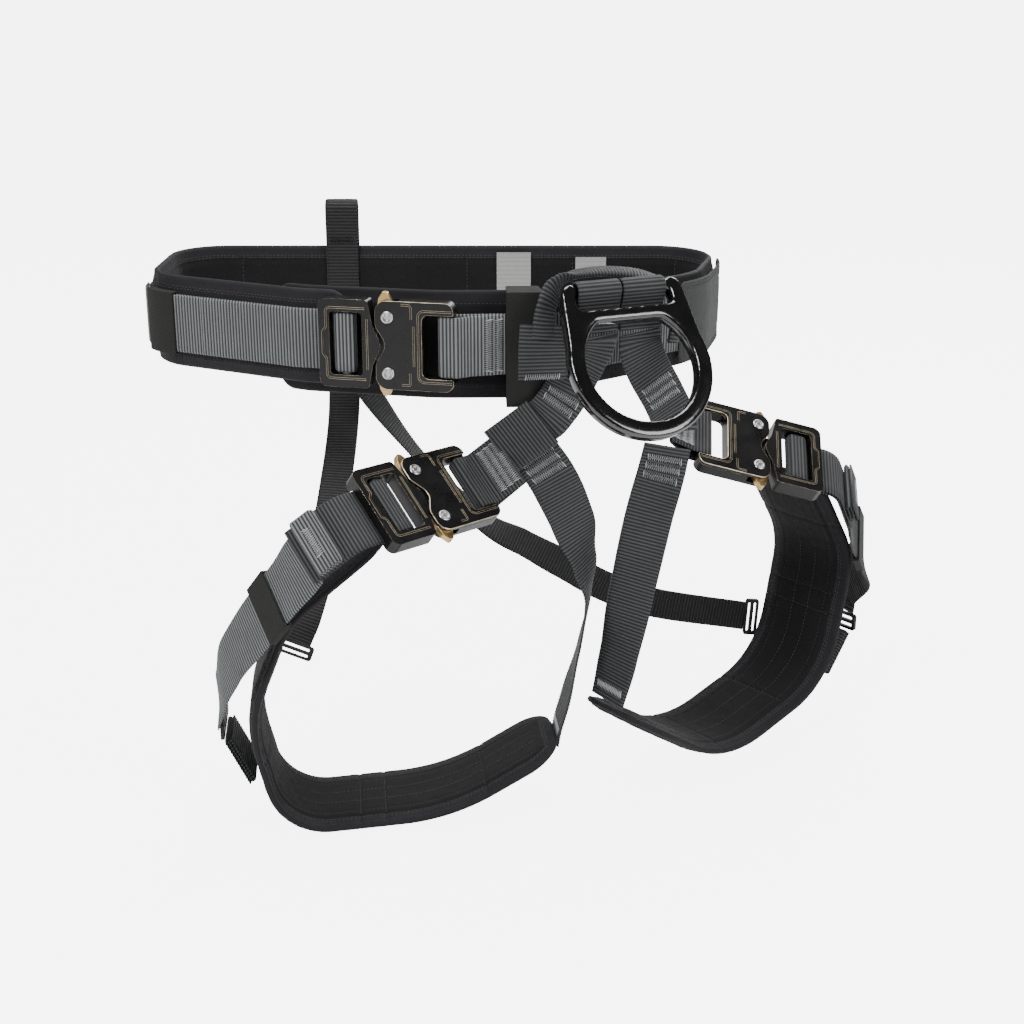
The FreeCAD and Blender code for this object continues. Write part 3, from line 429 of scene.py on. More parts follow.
# ---------------------------------------------------------------- lines and strips
def rounded(corners, closed=False):
    """Points along straight runs joined by arcs; corners are (x, y, radius) in millimetres."""
    corners = [tuple(corner) for corner in corners]
    if closed:
        first, last = corners[0], corners[-1]
        middle = ((first[0] + last[0]) / 2, (first[1] + last[1]) / 2, 0)
        corners = [middle] + corners + [middle]
    points = [Vector(corners[0][:2])]
    for before, corner, after in zip(corners, corners[1:], corners[2:]):
        point = Vector(corner[:2])
        entry = (point - Vector(before[:2])).normalized()
        leave = (Vector(after[:2]) - point).normalized()
        turn = math.atan2(entry.cross(leave), entry.dot(leave))
        if abs(turn) < 1e-4 or corner[2] == 0:
            points.append(point)
            continue
        start = point - entry * (corner[2] * math.tan(abs(turn) / 2))
        side = Vector((-entry.y, entry.x)) * math.copysign(1, turn)
        centre = start + side * corner[2]
        arm = start - centre
        count = max(3, int(abs(turn) * corner[2] / 1.2), int(abs(turn) / 0.16))
        for index in range(count + 1):
            points.append(centre + Matrix.Rotation(turn * index / count, 2) @ arm)
    points.append(Vector(corners[-1][:2]))
    return points


def spaced(points, step, start=0.0, end=None):
    """The same line as evenly spaced points between two distances along it."""
    lengths = [0.0]
    for low, high in zip(points, points[1:]):
        lengths.append(lengths[-1] + (high - low).length)
    end = lengths[-1] if end is None else end
    count = max(2, round((end - start) / step))
    found = []
    index = 0
    for number in range(count + 1):
        target = start + (end - start) * number / count
        while index < len(points) - 2 and lengths[index + 1] < target:
            index += 1
        span = lengths[index + 1] - lengths[index] or 1.0
        found.append(points[index].lerp(points[index + 1], (target - lengths[index]) / span))
    return found


def line_length(points):
    return sum((high - low).length for low, high in zip(points, points[1:]))


def beside_line(points, offset):
    """A plan line moved to its own left by an offset."""
    found = []
    for index, point in enumerate(points):
        way = (points[min(index + 1, len(points) - 1)] - points[max(index - 1, 0)]).normalized()
        found.append(point + Vector((-way.y, way.x)) * offset)
    return found


class Strip:
    """Webbing as a line of centres, each with the direction of its width, in millimetres."""

    def __init__(self, points, across, width, step=0.55):
        if isinstance(across, Vector):
            across = [across] * len(points)
        steady = spaced(points, step)
        self.points = steady
        runs = [0.0]
        for low, high in zip(points, points[1:]):
            runs.append(runs[-1] + (high - low).length)
        self.width = width
        self.length = runs[-1]
        self.across = []
        self.normals = []
        index = 0
        for number, point in enumerate(steady):
            run = self.length * number / (len(steady) - 1)
            while index < len(points) - 2 and runs[index + 1] < run:
                index += 1
            share = (run - runs[index]) / ((runs[index + 1] - runs[index]) or 1.0)
            wide = across[index].lerp(across[index + 1], min(max(share, 0.0), 1.0))
            ahead = steady[min(number + 1, len(steady) - 1)]
            along = (ahead - steady[max(number - 1, 0)]).normalized()
            wide = (wide - along * wide.dot(along)).normalized()
            self.across.append(wide)
            self.normals.append(along.cross(wide))

    def at(self, run, side, lift):
        """A point on the strip: run and side in millimetres, lift from its middle surface."""
        share = min(max(run / self.length, 0.0), 1.0) * (len(self.points) - 1)
        index = int(round(share))
        return self.points[index] + self.across[index] * side + self.normals[index] * lift


def smooth_line(stations, count=14):
    """A smooth line through stations ((x, y, z), across): points and width directions."""
    points = [Vector(point) for point, _ in stations]
    widths = [Vector(across).normalized() for _, across in stations]
    points = [points[0] * 2 - points[1]] + points + [points[-1] * 2 - points[-2]]
    found, across = [], []
    for index in range(1, len(points) - 2):
        a, b, c, d = points[index - 1:index + 3]
        for number in range(count):
            t = number / count
            place = 0.5 * (2 * b + (c - a) * t + (2 * a - 5 * b + 4 * c - d) * t ** 2
                           + (3 * b - a - 3 * c + d) * t ** 3)
            found.append(place)
            ease = t * t * (3 - 2 * t)
            across.append(widths[index - 1].lerp(widths[index], ease).normalized())
    found.append(points[-2])
    across.append(widths[-1])
    return found, across


def new_object(name, mesh):
    obj = bpy.data.objects.new(name, mesh)
    bpy.context.scene.collection.objects.link(obj)
    return obj


def mesh_from(name, vertices, faces, uvs=None, smooth=True, attributes=None):
    """A mesh from points in millimetres, with UVs by vertex in metres."""
    mesh = bpy.data.meshes.new(name)
    mesh.from_pydata([tuple(point * MM) for point in vertices], [], faces)
    if uvs:
        layer = mesh.uv_layers.new(name="UVMap")
        for loop in mesh.loops:
            layer.data[loop.index].uv = uvs[loop.vertex_index]
    for label, values in (attributes or {}).items():
        mesh.attributes.new(label, "FLOAT", "POINT").data.foreach_set("value", values)
    if smooth:
        mesh.shade_smooth()
    return new_object(name, mesh)


def settle(obj, body, nodes=()):
    """Hands a finished piece to the frame."""
    if nodes:
        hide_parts(*nodes)
    if body:
        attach(obj, body)
    return obj


COLUMNS = (-0.47, -0.36, -0.18, 0.0, 0.18, 0.36, 0.47)


def webbing(name, strip, material, nodes=(), body="harness", thickness=None, rolled=False):
    """A ribbed webbing piece round a strip; rolled webbing is round in section."""
    sizes = bpy.context.scene.saddle_sizes
    half = (thickness or sizes.webbing_thickness / MM) / 2
    ring = [(-0.5, 0.0)] + [(c, 1.0) for c in COLUMNS] + [(0.5, 0.0)]
    ring += [(c, -1.0) for c in reversed(COLUMNS)]
    vertices, uvs, run_values, face_values = [], [], [], []
    last = len(strip.points) - 1
    wander = [noise.noise(Vector((number * 0.02, strip.length, 0))) * 0.35
              for number in range(last + 1)]
    for number, point in enumerate(strip.points):
        run = strip.length * number / last
        for share, side in ring:
            sway = wander[number] * abs(share)
            crown = math.sqrt(1.03 - (2 * share) ** 2) if rolled else 1.0 - 0.12 * (2 * share) ** 4
            vertices.append(point + strip.across[number] * (share * strip.width + sway * share)
                            + strip.normals[number] * (half * side * crown))
            uvs.append((share * strip.width * MM, run * MM))
            run_values.append(run * MM)
            face_values.append(1.0 if side else 0.25)
    size = len(ring)
    faces = []
    for number in range(last):
        low, high = number * size, (number + 1) * size
        for index in range(size):
            after = (index + 1) % size
            faces.append((low + index, low + after, high + after, high + index))
    faces.append(tuple(reversed(range(size))))
    faces.append(tuple(last * size + index for index in range(size)))
    faces = [tuple(reversed(face)) for face in faces]
    obj = mesh_from(name, vertices, faces, uvs, True, {"run": run_values, "face": face_values})
    run_group(obj, GROUPS["rib"], {"Pitch": sizes.rib_pitch, "Depth": sizes.rib_depth,
                                   "Material": MATERIALS[material]})
    face_out(obj)
    return settle(obj, body, nodes)


@contextmanager
def edited(mesh):
    """Opens a mesh for editing and writes it back."""
    work = bmesh.new()
    work.from_mesh(mesh)
    yield work
    work.to_mesh(mesh)
    work.free()


def face_out(obj):
    """Turns a closed mesh's faces outward."""
    with edited(obj.data) as work:
        bmesh.ops.recalc_face_normals(work, faces=work.faces)


def threads(name, lines, material, slot, group, values, body="harness"):
    """Stitches or thread along polylines given in millimetres, as one piece."""
    vertices, edges = [], []
    for line in lines:
        start = len(vertices)
        vertices += [tuple(point * MM) for point in line]
        edges += [(start + index, start + index + 1) for index in range(len(line) - 1)]
    mesh = bpy.data.meshes.new(name)
    mesh.from_pydata(vertices, edges, [])
    obj = new_object(name, mesh)
    run_group(obj, GROUPS[group], {**values, "Material": MATERIALS[material]})
    obj.data.shade_smooth()
    return settle(obj, body)


def bar_tack(strip, run, side, span):
    """Zigzag bars of thread across a strip at a run along it; side is +1 or -1."""
    lines = []
    half = strip.width * span / 2
    for number in range(TACK_PASSES):
        offset = (number - (TACK_PASSES - 1) / 2) * TACK_HEIGHT * 0.3
        count = int(half * 2 / TACK_SPACING)
        line = []
        for index in range(count + 1):
            place = -half + 2 * half * index / count
            swing = TACK_HEIGHT / 2 if index % 2 else -TACK_HEIGHT / 2
            line.append(strip.at(run + offset + swing, place, TACK_LIFT * side))
        lines.append(line)
    return lines


# ---------------------------------------------------------------- padded bands
class Band:
    """A bound pad along a plan line: its own centre line, up direction and outward normal."""

    def __init__(self, name, line, lift_to, height, thickness, ends, step=1.8):
        self.name = name
        self.plan = spaced(line, step)
        self.length = line_length(self.plan)
        self.lift_to = lift_to
        self.height = height
        self.thickness = thickness
        self.ends = ends
        self.seams = []
        self.rows = []

    def frame_at(self, index):
        low = self.plan[max(index - 1, 0)]
        high = self.plan[min(index + 1, len(self.plan) - 1)]
        way = (high - low).normalized()
        centre = self.lift_to(self.plan[index].x, self.plan[index].y, 0.0)
        origin = self.lift_to(0.0, 0.0, 0.0)
        out = self.lift_to(-way.y, way.x, 0.0) - origin
        up = self.lift_to(0.0, 0.0, 1.0) - origin
        return centre, out.normalized(), up.normalized()

    def reach(self, run):
        """How far the pad reaches up and down from its middle at a run."""
        spans = []
        for sign in (1, -1):
            half = self.height / 2
            for distance, radius in ((run, self.ends[0][0 if sign > 0 else 1]),
                                     (self.length - run, self.ends[1][0 if sign > 0 else 1])):
                if distance < radius:
                    drop = radius - math.sqrt(max(radius ** 2 - (radius - distance) ** 2, 0.0))
                    half = min(half, self.height / 2 - drop)
            spans.append(max(half, 0.5))
        return spans

    def rim_distance(self, run, across):
        high, low = self.reach(run)
        edge = high - across if across > 0 else low + across
        return max(min(edge, run, self.length - run), 0.0)

    def half_thickness(self, run, across, binding):
        """Half the pad's thickness at a point of its face."""
        distance = self.rim_distance(run, across)
        rim = min(distance / 2.4, 1.0)
        base = 0.46 * self.thickness / 2 * math.sqrt(max(1 - (1 - rim) ** 2, 0.0))
        rise = min(max((distance - 2.0) / 15.0, 0.0), 1.0)
        base += 0.54 * self.thickness / 2 * rise * rise * (3 - 2 * rise)
        base -= 0.5 * math.exp(-((distance - binding - 0.6) / 1.1) ** 2)
        return base

    def face_offset(self, run, across, binding, inside):
        half = self.half_thickness(run, across, binding)
        if inside:
            for seam in self.seams:
                half -= 0.9 * math.exp(-((run - seam) / 1.3) ** 2)
            for row in self.rows:
                half -= 0.5 * math.exp(-((across - row) / 1.2) ** 2)
        distance = self.rim_distance(run, across)
        pucker = noise.noise(Vector((run * 0.16, across * 0.1, 3.0 if inside else 9.0)))
        half += 0.28 * pucker * min(distance / 3.0, 1.0)
        return max(half, 0.02)

    def point(self, run, across, side, binding, lift=0.0):
        """A point on the pad's outer (side 1) or inner (side -1) face."""
        index = int(round(run / self.length * (len(self.plan) - 1)))
        centre, out, up = self.frame_at(min(max(index, 0), len(self.plan) - 1))
        offset = self.face_offset(run, across, binding, side < 0)
        return centre + up * across + out * (side * (offset + lift))

    def build(self, outer, inner, edge, slot, node, fill=0.5):
        """The pad's closed mesh, with its outer cloth, lining and binding."""
        binding = bpy.context.scene.saddle_sizes.binding_width / MM
        rows = len(self.plan)
        shares = self.shares()
        count = len(shares)
        vertices, uvs = [], []
        for side in (1, -1):
            for number in range(rows):
                run = self.length * number / (rows - 1)
                high, low = self.reach(run)
                centre, out, up = self.frame_at(number)
                for share in shares:
                    across = share * (high if share > 0 else low)
                    offset = self.face_offset(run, across, binding, side < 0)
                    if number in (0, rows - 1) or abs(share) == 1.0:
                        offset = 0.0
                    vertices.append(centre + up * across + out * (side * offset))
                    uvs.append((run * MM, across * MM))
        faces, slots = [], []
        sheet = rows * count
        for side in (0, 1):
            for number in range(rows - 1):
                for column in range(count - 1):
                    a = side * sheet + number * count + column
                    face = (a, a + count, a + count + 1, a + 1)
                    faces.append(face if side == 0 else tuple(reversed(face)))
                    run = self.length * (number + 0.5) / (rows - 1)
                    high, low = self.reach(run)
                    share = (shares[column] + shares[column + 1]) / 2
                    across = share * (high if share > 0 else low)
                    near = self.rim_distance(run, across) < binding
                    slots.append(2 if near else side)
        obj = mesh_from(self.name, vertices, faces, uvs)
        with edited(obj.data) as work:
            bmesh.ops.remove_doubles(work, verts=work.verts, dist=0.00002)
        for material in (outer, inner, edge):
            obj.data.materials.append(MATERIALS[material])
        if len(obj.data.polygons) == len(slots):
            obj.data.polygons.foreach_set("material_index", slots)
        else:
            raise RuntimeError("pad faces were lost: " + self.name)
        face_out(obj)
        return settle(obj, "harness", (node,))

    def shares(self):
        """Columns across the pad, closer together towards its rims."""
        count = max(12, int(self.height / 1.9))
        found = []
        for index in range(count + 1):
            share = -1 + 2 * index / count
            found.append(math.copysign(1 - (1 - abs(share)) ** 1.12, share))
        return found

    def rim_line(self, inset, side, binding):
        """A closed line on the pad's face, inset from its rim."""
        top, bottom = [], []
        for number in range(161):
            run = inset + (self.length - 2 * inset) * number / 160
            high, low = self.reach(run)
            top.append(self.point(run, max(high - inset, 0.0), side, binding, 0.1))
            bottom.append(self.point(run, -max(low - inset, 0.0), side, binding, 0.1))
        return top + bottom[::-1] + top[:1]


# ---------------------------------------------------------------- this saddle's layout, in millimetres
BELT_CORNERS = [(5, -110, 120), (-95, -88, 60), (-220, -25, 46), (-220, 98, 42),
                (238, 98, 45), (205, -24, 70), (100, -108, 80)]
BELT = rounded(BELT_CORNERS, closed=True)
BELT_LENGTH = line_length(BELT)
FLAP_LINE = rounded([(72, -108.5, 0), (5, -110, 120), (-95, -88, 60), (-120, -75.5, 0)])
FLAP_DROP = 4
LAYER_ONE = 6.6
LAYER_TWO = 9.1
SLIDE_END = 235
TAIL_END = 315
CROTCH_WIDTH = 37
REAR_WIDTH = 27
REAR_THICKNESS = 1.8
ROLL_WIDTH = 18
ROLL_THICKNESS = 6.6
PATCH_HALF = 20
PATCH_TURN = math.radians(37)
PATCH_CENTRE = Vector((69, -127, -68))
RING_LEAN = math.radians(35)
SLING_RADIUS = 6.38
SLING_MIDDLE = 18
STITCH_RADIUS = 0.00034
STITCH_INSETS = (1.2, 3.0)
TACK_PASSES = 2
TACK_HEIGHT = 4.6
TACK_SPACING = 0.8
TACK_LIFT = 1.2
TACK_THREAD = {"Radius": 0.0004}
ENGRAVED_LINE = {"Radius": 0.00017}
ENGRAVED_PAIR = (0.0, 1.3)
ENGRAVED_HEIGHT = 6.02
RIVET_REACH = 21
UP = Vector((0, 0, 1))
VIEWER = Vector((0.0, -1.0, 0.35))
OVER_Z, UNDER_Z = -3.9, -6.4
SLIDE_FAR = (-97.1, -38)
SLIDE_BEND = (-70.6, OVER_Z)
ADJUSTER_WRAP = [(-43.2, OVER_Z, 2), (-39.6, 3.6, 2.4), (-27.2, 3.6, 3), (-27.2, UNDER_Z, 3)]
HOUSING_WRAP = [(60, OVER_Z, 6), (51.5, 4.4, 2.4), (38.5, 4.4, 2.4), (38.5, UNDER_Z, 3)]
LEG_PLANES = {"right": ((30, -120, 0), 6), "left": ((150, -110, 0), 40)}
LEG_PADS = {
    "right": [(66, -316, 0), (-20, -366, 160), (-150, -374, 45), (-172, -280, 100), (-140, -200, 80),
              (-64, -137, 0)],
    "left": [(176, -132, 0), (228, -212, 60), (205, -322, 70), (80, -356, 100), (-14, -294, 0)],
}
HOLD_ENDS = {"right": (66, 20.5), "left": (69, 6)}
LOCKS = {"right": [(-190, -300, 0), (-172, -338, 0)], "left": [(254, -294, 0), (228, -328, 0)]}
RIBBONS = {
    "right_riser": [((122.4, -133.4, 9.6), (0.91, 0.41, 0)), ((122.4, -133.2, 5), (0.91, 0.41, 0)),
                    ((118, -129, -5), (0.97, 0.2, -0.1)), ((111, -124.3, -16), (0.96, 0, -0.28)),
                    ((101, -124, -36), (0.8, 0, -0.6)), ((90.4, -126, -50.6), (0.62, 0, -0.78)),
                    ((84, -124.2, -57), (0.6, 0, -0.8)), ((75, -123.4, -64), (0.6, 0, -0.8))],
    "right_crotch_strap": [
        ((72, -123.4, -74), (0.8, 0, 0.6)), ((81.4, -124.2, -84.6), (0.8, 0, 0.6)),
        ((94, -124, -104), (0.85, 0.1, 0.5)),
        ((108, -120, -136), (0.8, 0.4, 0.3)), ((118, -117, -170), (0.5, 0.85, 0.1)),
        ((121, -116, -202), (0.15, 0.99, 0)), ((114, -114, -245), (0.05, 0.99, 0)),
        ((105, -113, -285), (-0.1, 0.99, 0)), ((98.8, -112.7, -309), (-0.1, 0.99, 0)),
        ((96.6, -112.8, -322), (-0.1, 0.99, 0))],
    "right_leg_strap": [
        ((-82, -213.5, -131), (0.52, -0.56, -0.64)), ((-88, -209, -140), (0.52, -0.56, -0.64)),
        ((-104, -197.5, -163), (0.5, -0.7, -0.45)),
        ((-126, -181.4, -195), (0.5, -0.7, -0.45)), ((-149, -167, -230), (0.45, -0.8, -0.35)),
        ((-160, -157, -260), (0.3, -0.9, -0.2)), ((-162.6, -150, -280), (0.1, -0.99, 0))],
    "right_rear_riser": [
        ((-84, 107, -32), (1, 0, 0)), ((-84, 96, -75), (1, 0, 0)), ((-84, 72, -112), (1, 0, 0.1)),
        ((-87, 30, -150), (1, 0.1, 0.1)), ((-94, -20, -195), (0.95, 0.2, 0.1)),
        ((-106, -56, -238), (0.9, 0.3, 0)), ((-114.5, -68.3, -259.5), (0.88, 0.4, 0))],
    "left_riser": [((155.6, -118.6, 9.6), (0.91, 0.41, 0)), ((156.5, -117, -2), (0.91, 0.38, 0.1)),
                   ((163, -111, -20), (0.82, 0.3, 0.5)), ((175, -105, -42), (0.75, 0.3, 0.55)),
                   ((184, -98, -62), (0.8, 0.2, 0.5)), ((185, -99.5, -72), (0.88, 0.15, 0.35))],
    "left_crotch_strap": [
        ((180, -103.5, -82), (0.98, 0.1, 0.15)), ((175, -104, -106), (0.98, 0, 0.1)),
        ((166, -109, -140), (0.97, -0.2, 0)), ((154, -114, -200), (0.9, -0.4, 0)),
        ((145, -118, -250), (0.75, -0.65, 0)), ((137, -121, -286), (0.64, -0.77, 0))],
    "left_leg_strap": [
        ((333.4, -39.6, -158.4), (0.07, 0.85, 0.52)), ((344, -22, -177), (0.1, 0.66, 0.74)),
        ((360, 12, -207), (0.1, 0.66, 0.74)), ((362, 36, -236), (-0.35, 0.85, 0.3)),
        ((351, 52.5, -258), (-0.6, 0.78, 0.1)), ((348, 54.5, -275), (-0.64, 0.77, 0))],
    "left_rear_riser": [
        ((-78, 85, -38), (1, 0, 0)), ((-66, 81, -80), (0.6, 0.8, 0.2)),
        ((-18, 80, -148), (0.1, 0.98, 0.15)), ((36, 72, -203), (0.05, 0.85, 0.5)),
        ((73, 68, -223), (0, 0.7, 0.7)), ((107, 64, -241), (0, 0.5, 0.85)),
        ((146, 61, -262), (0, 0.3, 0.95)), ((190, 60, -277), (0.05, 0.1, 0.99)),
        ((271, 62, -290.3), (0.05, 0, 1))],
    "bridge": [((84, -135, -22), (1, 0.1, 0)), ((84, -135.5, 0), (1, 0.1, 0)),
               ((84.5, -134.5, 12), (1, 0.15, 0)), ((84.8, -133.5, 18), (1, 0.2, 0))],
    "bridge_roll": [
        ((84.5, -134.5, 8), (1, 0.15, 0)), ((85.5, -133, 22), (0.9, 0.4, 0)),
        ((88, -129, 34), (0.75, 0.65, 0)), ((94, -118, 44), (0.5, 0.85, 0)),
        ((109, -103, 49), (0.3, 0.95, 0.03)), ((136, -91, 49), (0.2, 0.98, 0.05)),
        ((160, -84, 44), (0.2, 0.97, 0.1)), ((178, -78, 33), (0.35, 0.93, 0)),
        ((186, -75, 14), (0.35, 0.93, 0)), ((184, -78, -8), (0.5, 0.85, 0))],
}
STRIPS = {}


def belt_plan(start, end, offset):
    """Plan points beside the belt's middle line."""
    return beside_line(spaced(BELT, 1.0, start, end), offset)


def level(points):
    return [Vector((point.x, point.y, 0.0)) for point in points]


def upright(x, y, w):
    """The belt's own plan, with w as its height."""
    return Vector((x, y, w))


def hung_lower(x, y, w):
    """The belt's own plan for the flap, which hangs a little lower."""
    return Vector((x, y, w - FLAP_DROP))


def laid_along(start, way, out, corners):
    """Corners given along and off a line, as corners of the plane that it lies in."""
    return [(*(start + way * run + out * rise), radius) for run, rise, radius in corners]


def beside(before, corner, after, offset):
    """A belt corner moved out to a webbing layer."""
    point = Vector(corner[:2])
    entry = (point - Vector(before[:2])).normalized()
    leave = (Vector(after[:2]) - point).normalized()
    normal = Vector((-entry.y - leave.y, entry.x + leave.x)).normalized()
    moved = point + normal * (offset / math.cos(entry.angle(leave) / 2))
    return (moved.x, moved.y, corner[2] + offset)


def axes_matrix(origin, x_axis, z_axis):
    """A frame in millimetres from its origin, own X and own Z."""
    y_axis = z_axis.cross(x_axis)
    rows = [(x_axis[n], y_axis[n], z_axis[n], origin[n]) for n in range(3)]
    return Matrix(rows + [(0, 0, 0, 1)])


def buckle_frame(name):
    """A buckle's own frame, from the joints of its levers and its male part."""
    upper = JOINTS[name + "_lever_upper_pinch"]
    lower = JOINTS[name + "_lever_lower_pinch"]
    middle = (Vector(upper["pos_m"]) + Vector(lower["pos_m"])) / (2 * MM)
    return axes_matrix(middle, -Vector(JOINTS[name + "_release"]["axis"]), Vector(lower["axis"]))


def ring_frame():
    """The ring's own frame, from its joint and its opening."""
    mount = next(m for m in frame["record"]["mounts"] if m["name"] == "ring_opening")
    return axes_matrix(Vector(mount["pos_m"]) / MM, -Vector(JOINTS["ring_swing"]["axis"]),
                       Vector(mount["axis"]))


def leg_plane(side):
    """Turns a leg loop's own (across, up, forward) into a place."""
    origin, yaw = LEG_PLANES[side]
    turn = math.radians(yaw)
    along = Vector((math.cos(turn), math.sin(turn), 0))
    out = Vector((math.sin(turn), -math.cos(turn), 0))

    def place(x, y, w):
        return Vector(origin) + along * x + UP * y + out * w

    return place


def facing_side(strip, run):
    """Which face of a strip looks towards the front."""
    index = int(run / strip.length * (len(strip.points) - 1))
    return 1 if strip.normals[index].dot(VIEWER) > 0 else -1


def tack(strip, run, span=0.8):
    return bar_tack(strip, run, facing_side(strip, run), span)


def carried_copy(node, name, *materials):
    """A copy of a carried part's mesh, in new materials."""
    mesh = frame["nodes"][node].data.copy()
    mesh.name = name
    mesh.materials.clear()
    for material in materials:
        mesh.materials.append(MATERIALS[material])
    return mesh


def apply_modifiers(obj):
    """Puts an object's shape with its modifiers in place of its own mesh."""
    depsgraph = bpy.context.evaluated_depsgraph_get()
    obj.data = bpy.data.meshes.new_from_object(obj.evaluated_get(depsgraph))
    obj.modifiers.clear()


def softened(node, name, body, coat, edge, width):
    """A rounded-edge copy of a carried part that stands for it."""
    mesh = carried_copy(node, name, coat, edge)
    with edited(mesh) as work:
        bmesh.ops.remove_doubles(work, verts=work.verts, dist=0.000005)
        bmesh.ops.dissolve_limit(work, angle_limit=math.radians(1.0), verts=work.verts,
                                 edges=work.edges)
        for face in work.faces:
            face.material_index = 0
        sharp = [e for e in work.edges
                 if len(e.link_faces) == 2 and e.calc_face_angle() > math.radians(35)]
        bmesh.ops.bevel(work, geom=sharp, offset=width, offset_type="OFFSET", segments=3,
                        profile=0.5, affect="EDGES", material=1, clamp_overlap=True)
        bmesh.ops.triangulate(work, faces=[f for f in work.faces if len(f.verts) > 4])
    mesh.shade_smooth()
    mesh.set_sharp_from_angle(angle=math.radians(38))
    obj = new_object(name, mesh)
    modifier = obj.modifiers.new("even", "WEIGHTED_NORMAL")
    modifier.keep_sharp = True
    modifier.weight = 100
    apply_modifiers(obj)
    return settle(obj, body, (node,))


def forged(node, name, body, coat, cell, passes):
    """A copy of a carried part with every edge worn round, as a forging has."""
    obj = new_object(name, carried_copy(node, name, coat))
    even = obj.modifiers.new("even", "REMESH")
    even.mode = "VOXEL"
    even.voxel_size = cell
    even.use_smooth_shade = True
    soft = obj.modifiers.new("soft", "SMOOTH")
    soft.factor = 0.5
    soft.iterations = passes
    apply_modifiers(obj)
    obj.data.shade_smooth()
    return settle(obj, body, (node,))


# ---------------------------------------------------------------- operators
class BuildOperator:
    """Shared by the operators that build one group of pieces."""
    bl_options = {"REGISTER", "UNDO"}

    def execute(self, context):
        self.build(context.scene.saddle_sizes, context.scene.saddle_colours)
        return {"FINISHED"}


class SADDLE_OT_materials(BuildOperator, bpy.types.Operator):
    """Make the cloths, coats and metals, and the trees that build ribs and stitches"""
    bl_idname = "saddle.materials"
    bl_label = "Materials"

    def build(self, sizes, colours):
        make_materials(colours)
        GROUPS.update(rib=rib_group(), stitch=stitch_group(), thread=thread_group())


class SADDLE_OT_belt(BuildOperator, bpy.types.Operator):
    """Build the padded belt, its front flap, side panel and labels"""
    bl_idname = "saddle.belt"
    bl_label = "Belt"

    def build(self, sizes, colours):
        binding = sizes.binding_width / MM
        stitch = {"Length": sizes.stitch_length, "Radius": STITCH_RADIUS}
        line = spaced(BELT, 1.0, 112, BELT_LENGTH - 18)
        pad = Band("belt_pad", line, upright, 72, 10, ((16, 16), (16, 16)))
        pad.seams = [150, 162, 330, 520, 610, 700, 880]
        pad.build("pad_twill", "lining", "binding", "belt_fabric", "waist_pad")
        rows = [pad.rim_line(binding - inset, side, binding) for inset in STITCH_INSETS
                for side in (1, -1)]
        for seam in pad.seams:
            rows.append([pad.point(seam, -24 + 2 * n, -1, binding, 0.1) for n in range(25)])
        threads("belt_stitches", rows, "dark_thread", "belt_fabric", "stitch", stitch)

        flap = Band("belt_flap", beside_line(FLAP_LINE, -8.3), hung_lower, 82, 6,
                    ((8, 8), (14, 14)))
        flap.build("lining", "lining", "binding", "belt_fabric", "front_flap", 0.4)
        rows = [flap.rim_line(binding - STITCH_INSETS[0], side, binding) for side in (1, -1)]
        threads("flap_stitches", rows, "dark_thread", "belt_fabric", "stitch", stitch)

        start = BELT_LENGTH * 0.76
        panel = Band("belt_side_panel", belt_plan(start, start + 112, 8.7), upright, 64, 1.4,
                     ((4, 4), (4, 4)))
        panel.build("side_cloth", "side_cloth", "side_cloth", "side_fabric", "side_panel", 0.2)
        rows = [panel.rim_line(inset, 1, binding) for inset in (2.2, 5.0)]
        threads("panel_stitches", rows, "dark_thread", "side_fabric", "stitch", stitch)

        corners = ((49, 78, -3, 31), (116, 142, 12, 27))
        vertices, faces, uvs, rows = [], [], [], []
        for left, right, low, high in corners:
            count = 14
            base = len(vertices)
            for depth in (0.0, 0.45):
                for n in range(count + 1):
                    for z in (low, high):
                        x = left + (right - left) * n / count
                        curl = 0.5 * math.sin(n * 0.9 + left) * (z - low) / (high - low)
                        vertices.append(Vector((x, 92.4 - depth - abs(curl), z)))
                        uvs.append((x * MM, z * MM))
            side = 2 * (count + 1)
            for n in range(count):
                a = base + 2 * n
                faces.append((a, a + 2, a + 3, a + 1))
                faces.append((a + side, a + side + 1, a + side + 3, a + side + 2))
                faces.append((a, a + side, a + side + 2, a + 2))
                faces.append((a + 1, a + 3, a + side + 3, a + side + 1))
            end = base + side - 2
            faces.append((base, base + 1, base + side + 1, base + side))
            faces.append((end, end + side, end + side + 1, end + 1))
            rows.append([Vector((x, 91.2, z)) for x, z in
                         ((left + 1, high - 1), (right - 1, high - 1))])
        obj = mesh_from("belt_labels", vertices, faces, uvs, False)
        obj.data.materials.append(MATERIALS["label_cloth"])
        face_out(obj)
        settle(obj, "harness", ("labels",))
        threads("label_stitches", rows, "thread", "label", "stitch", stitch)


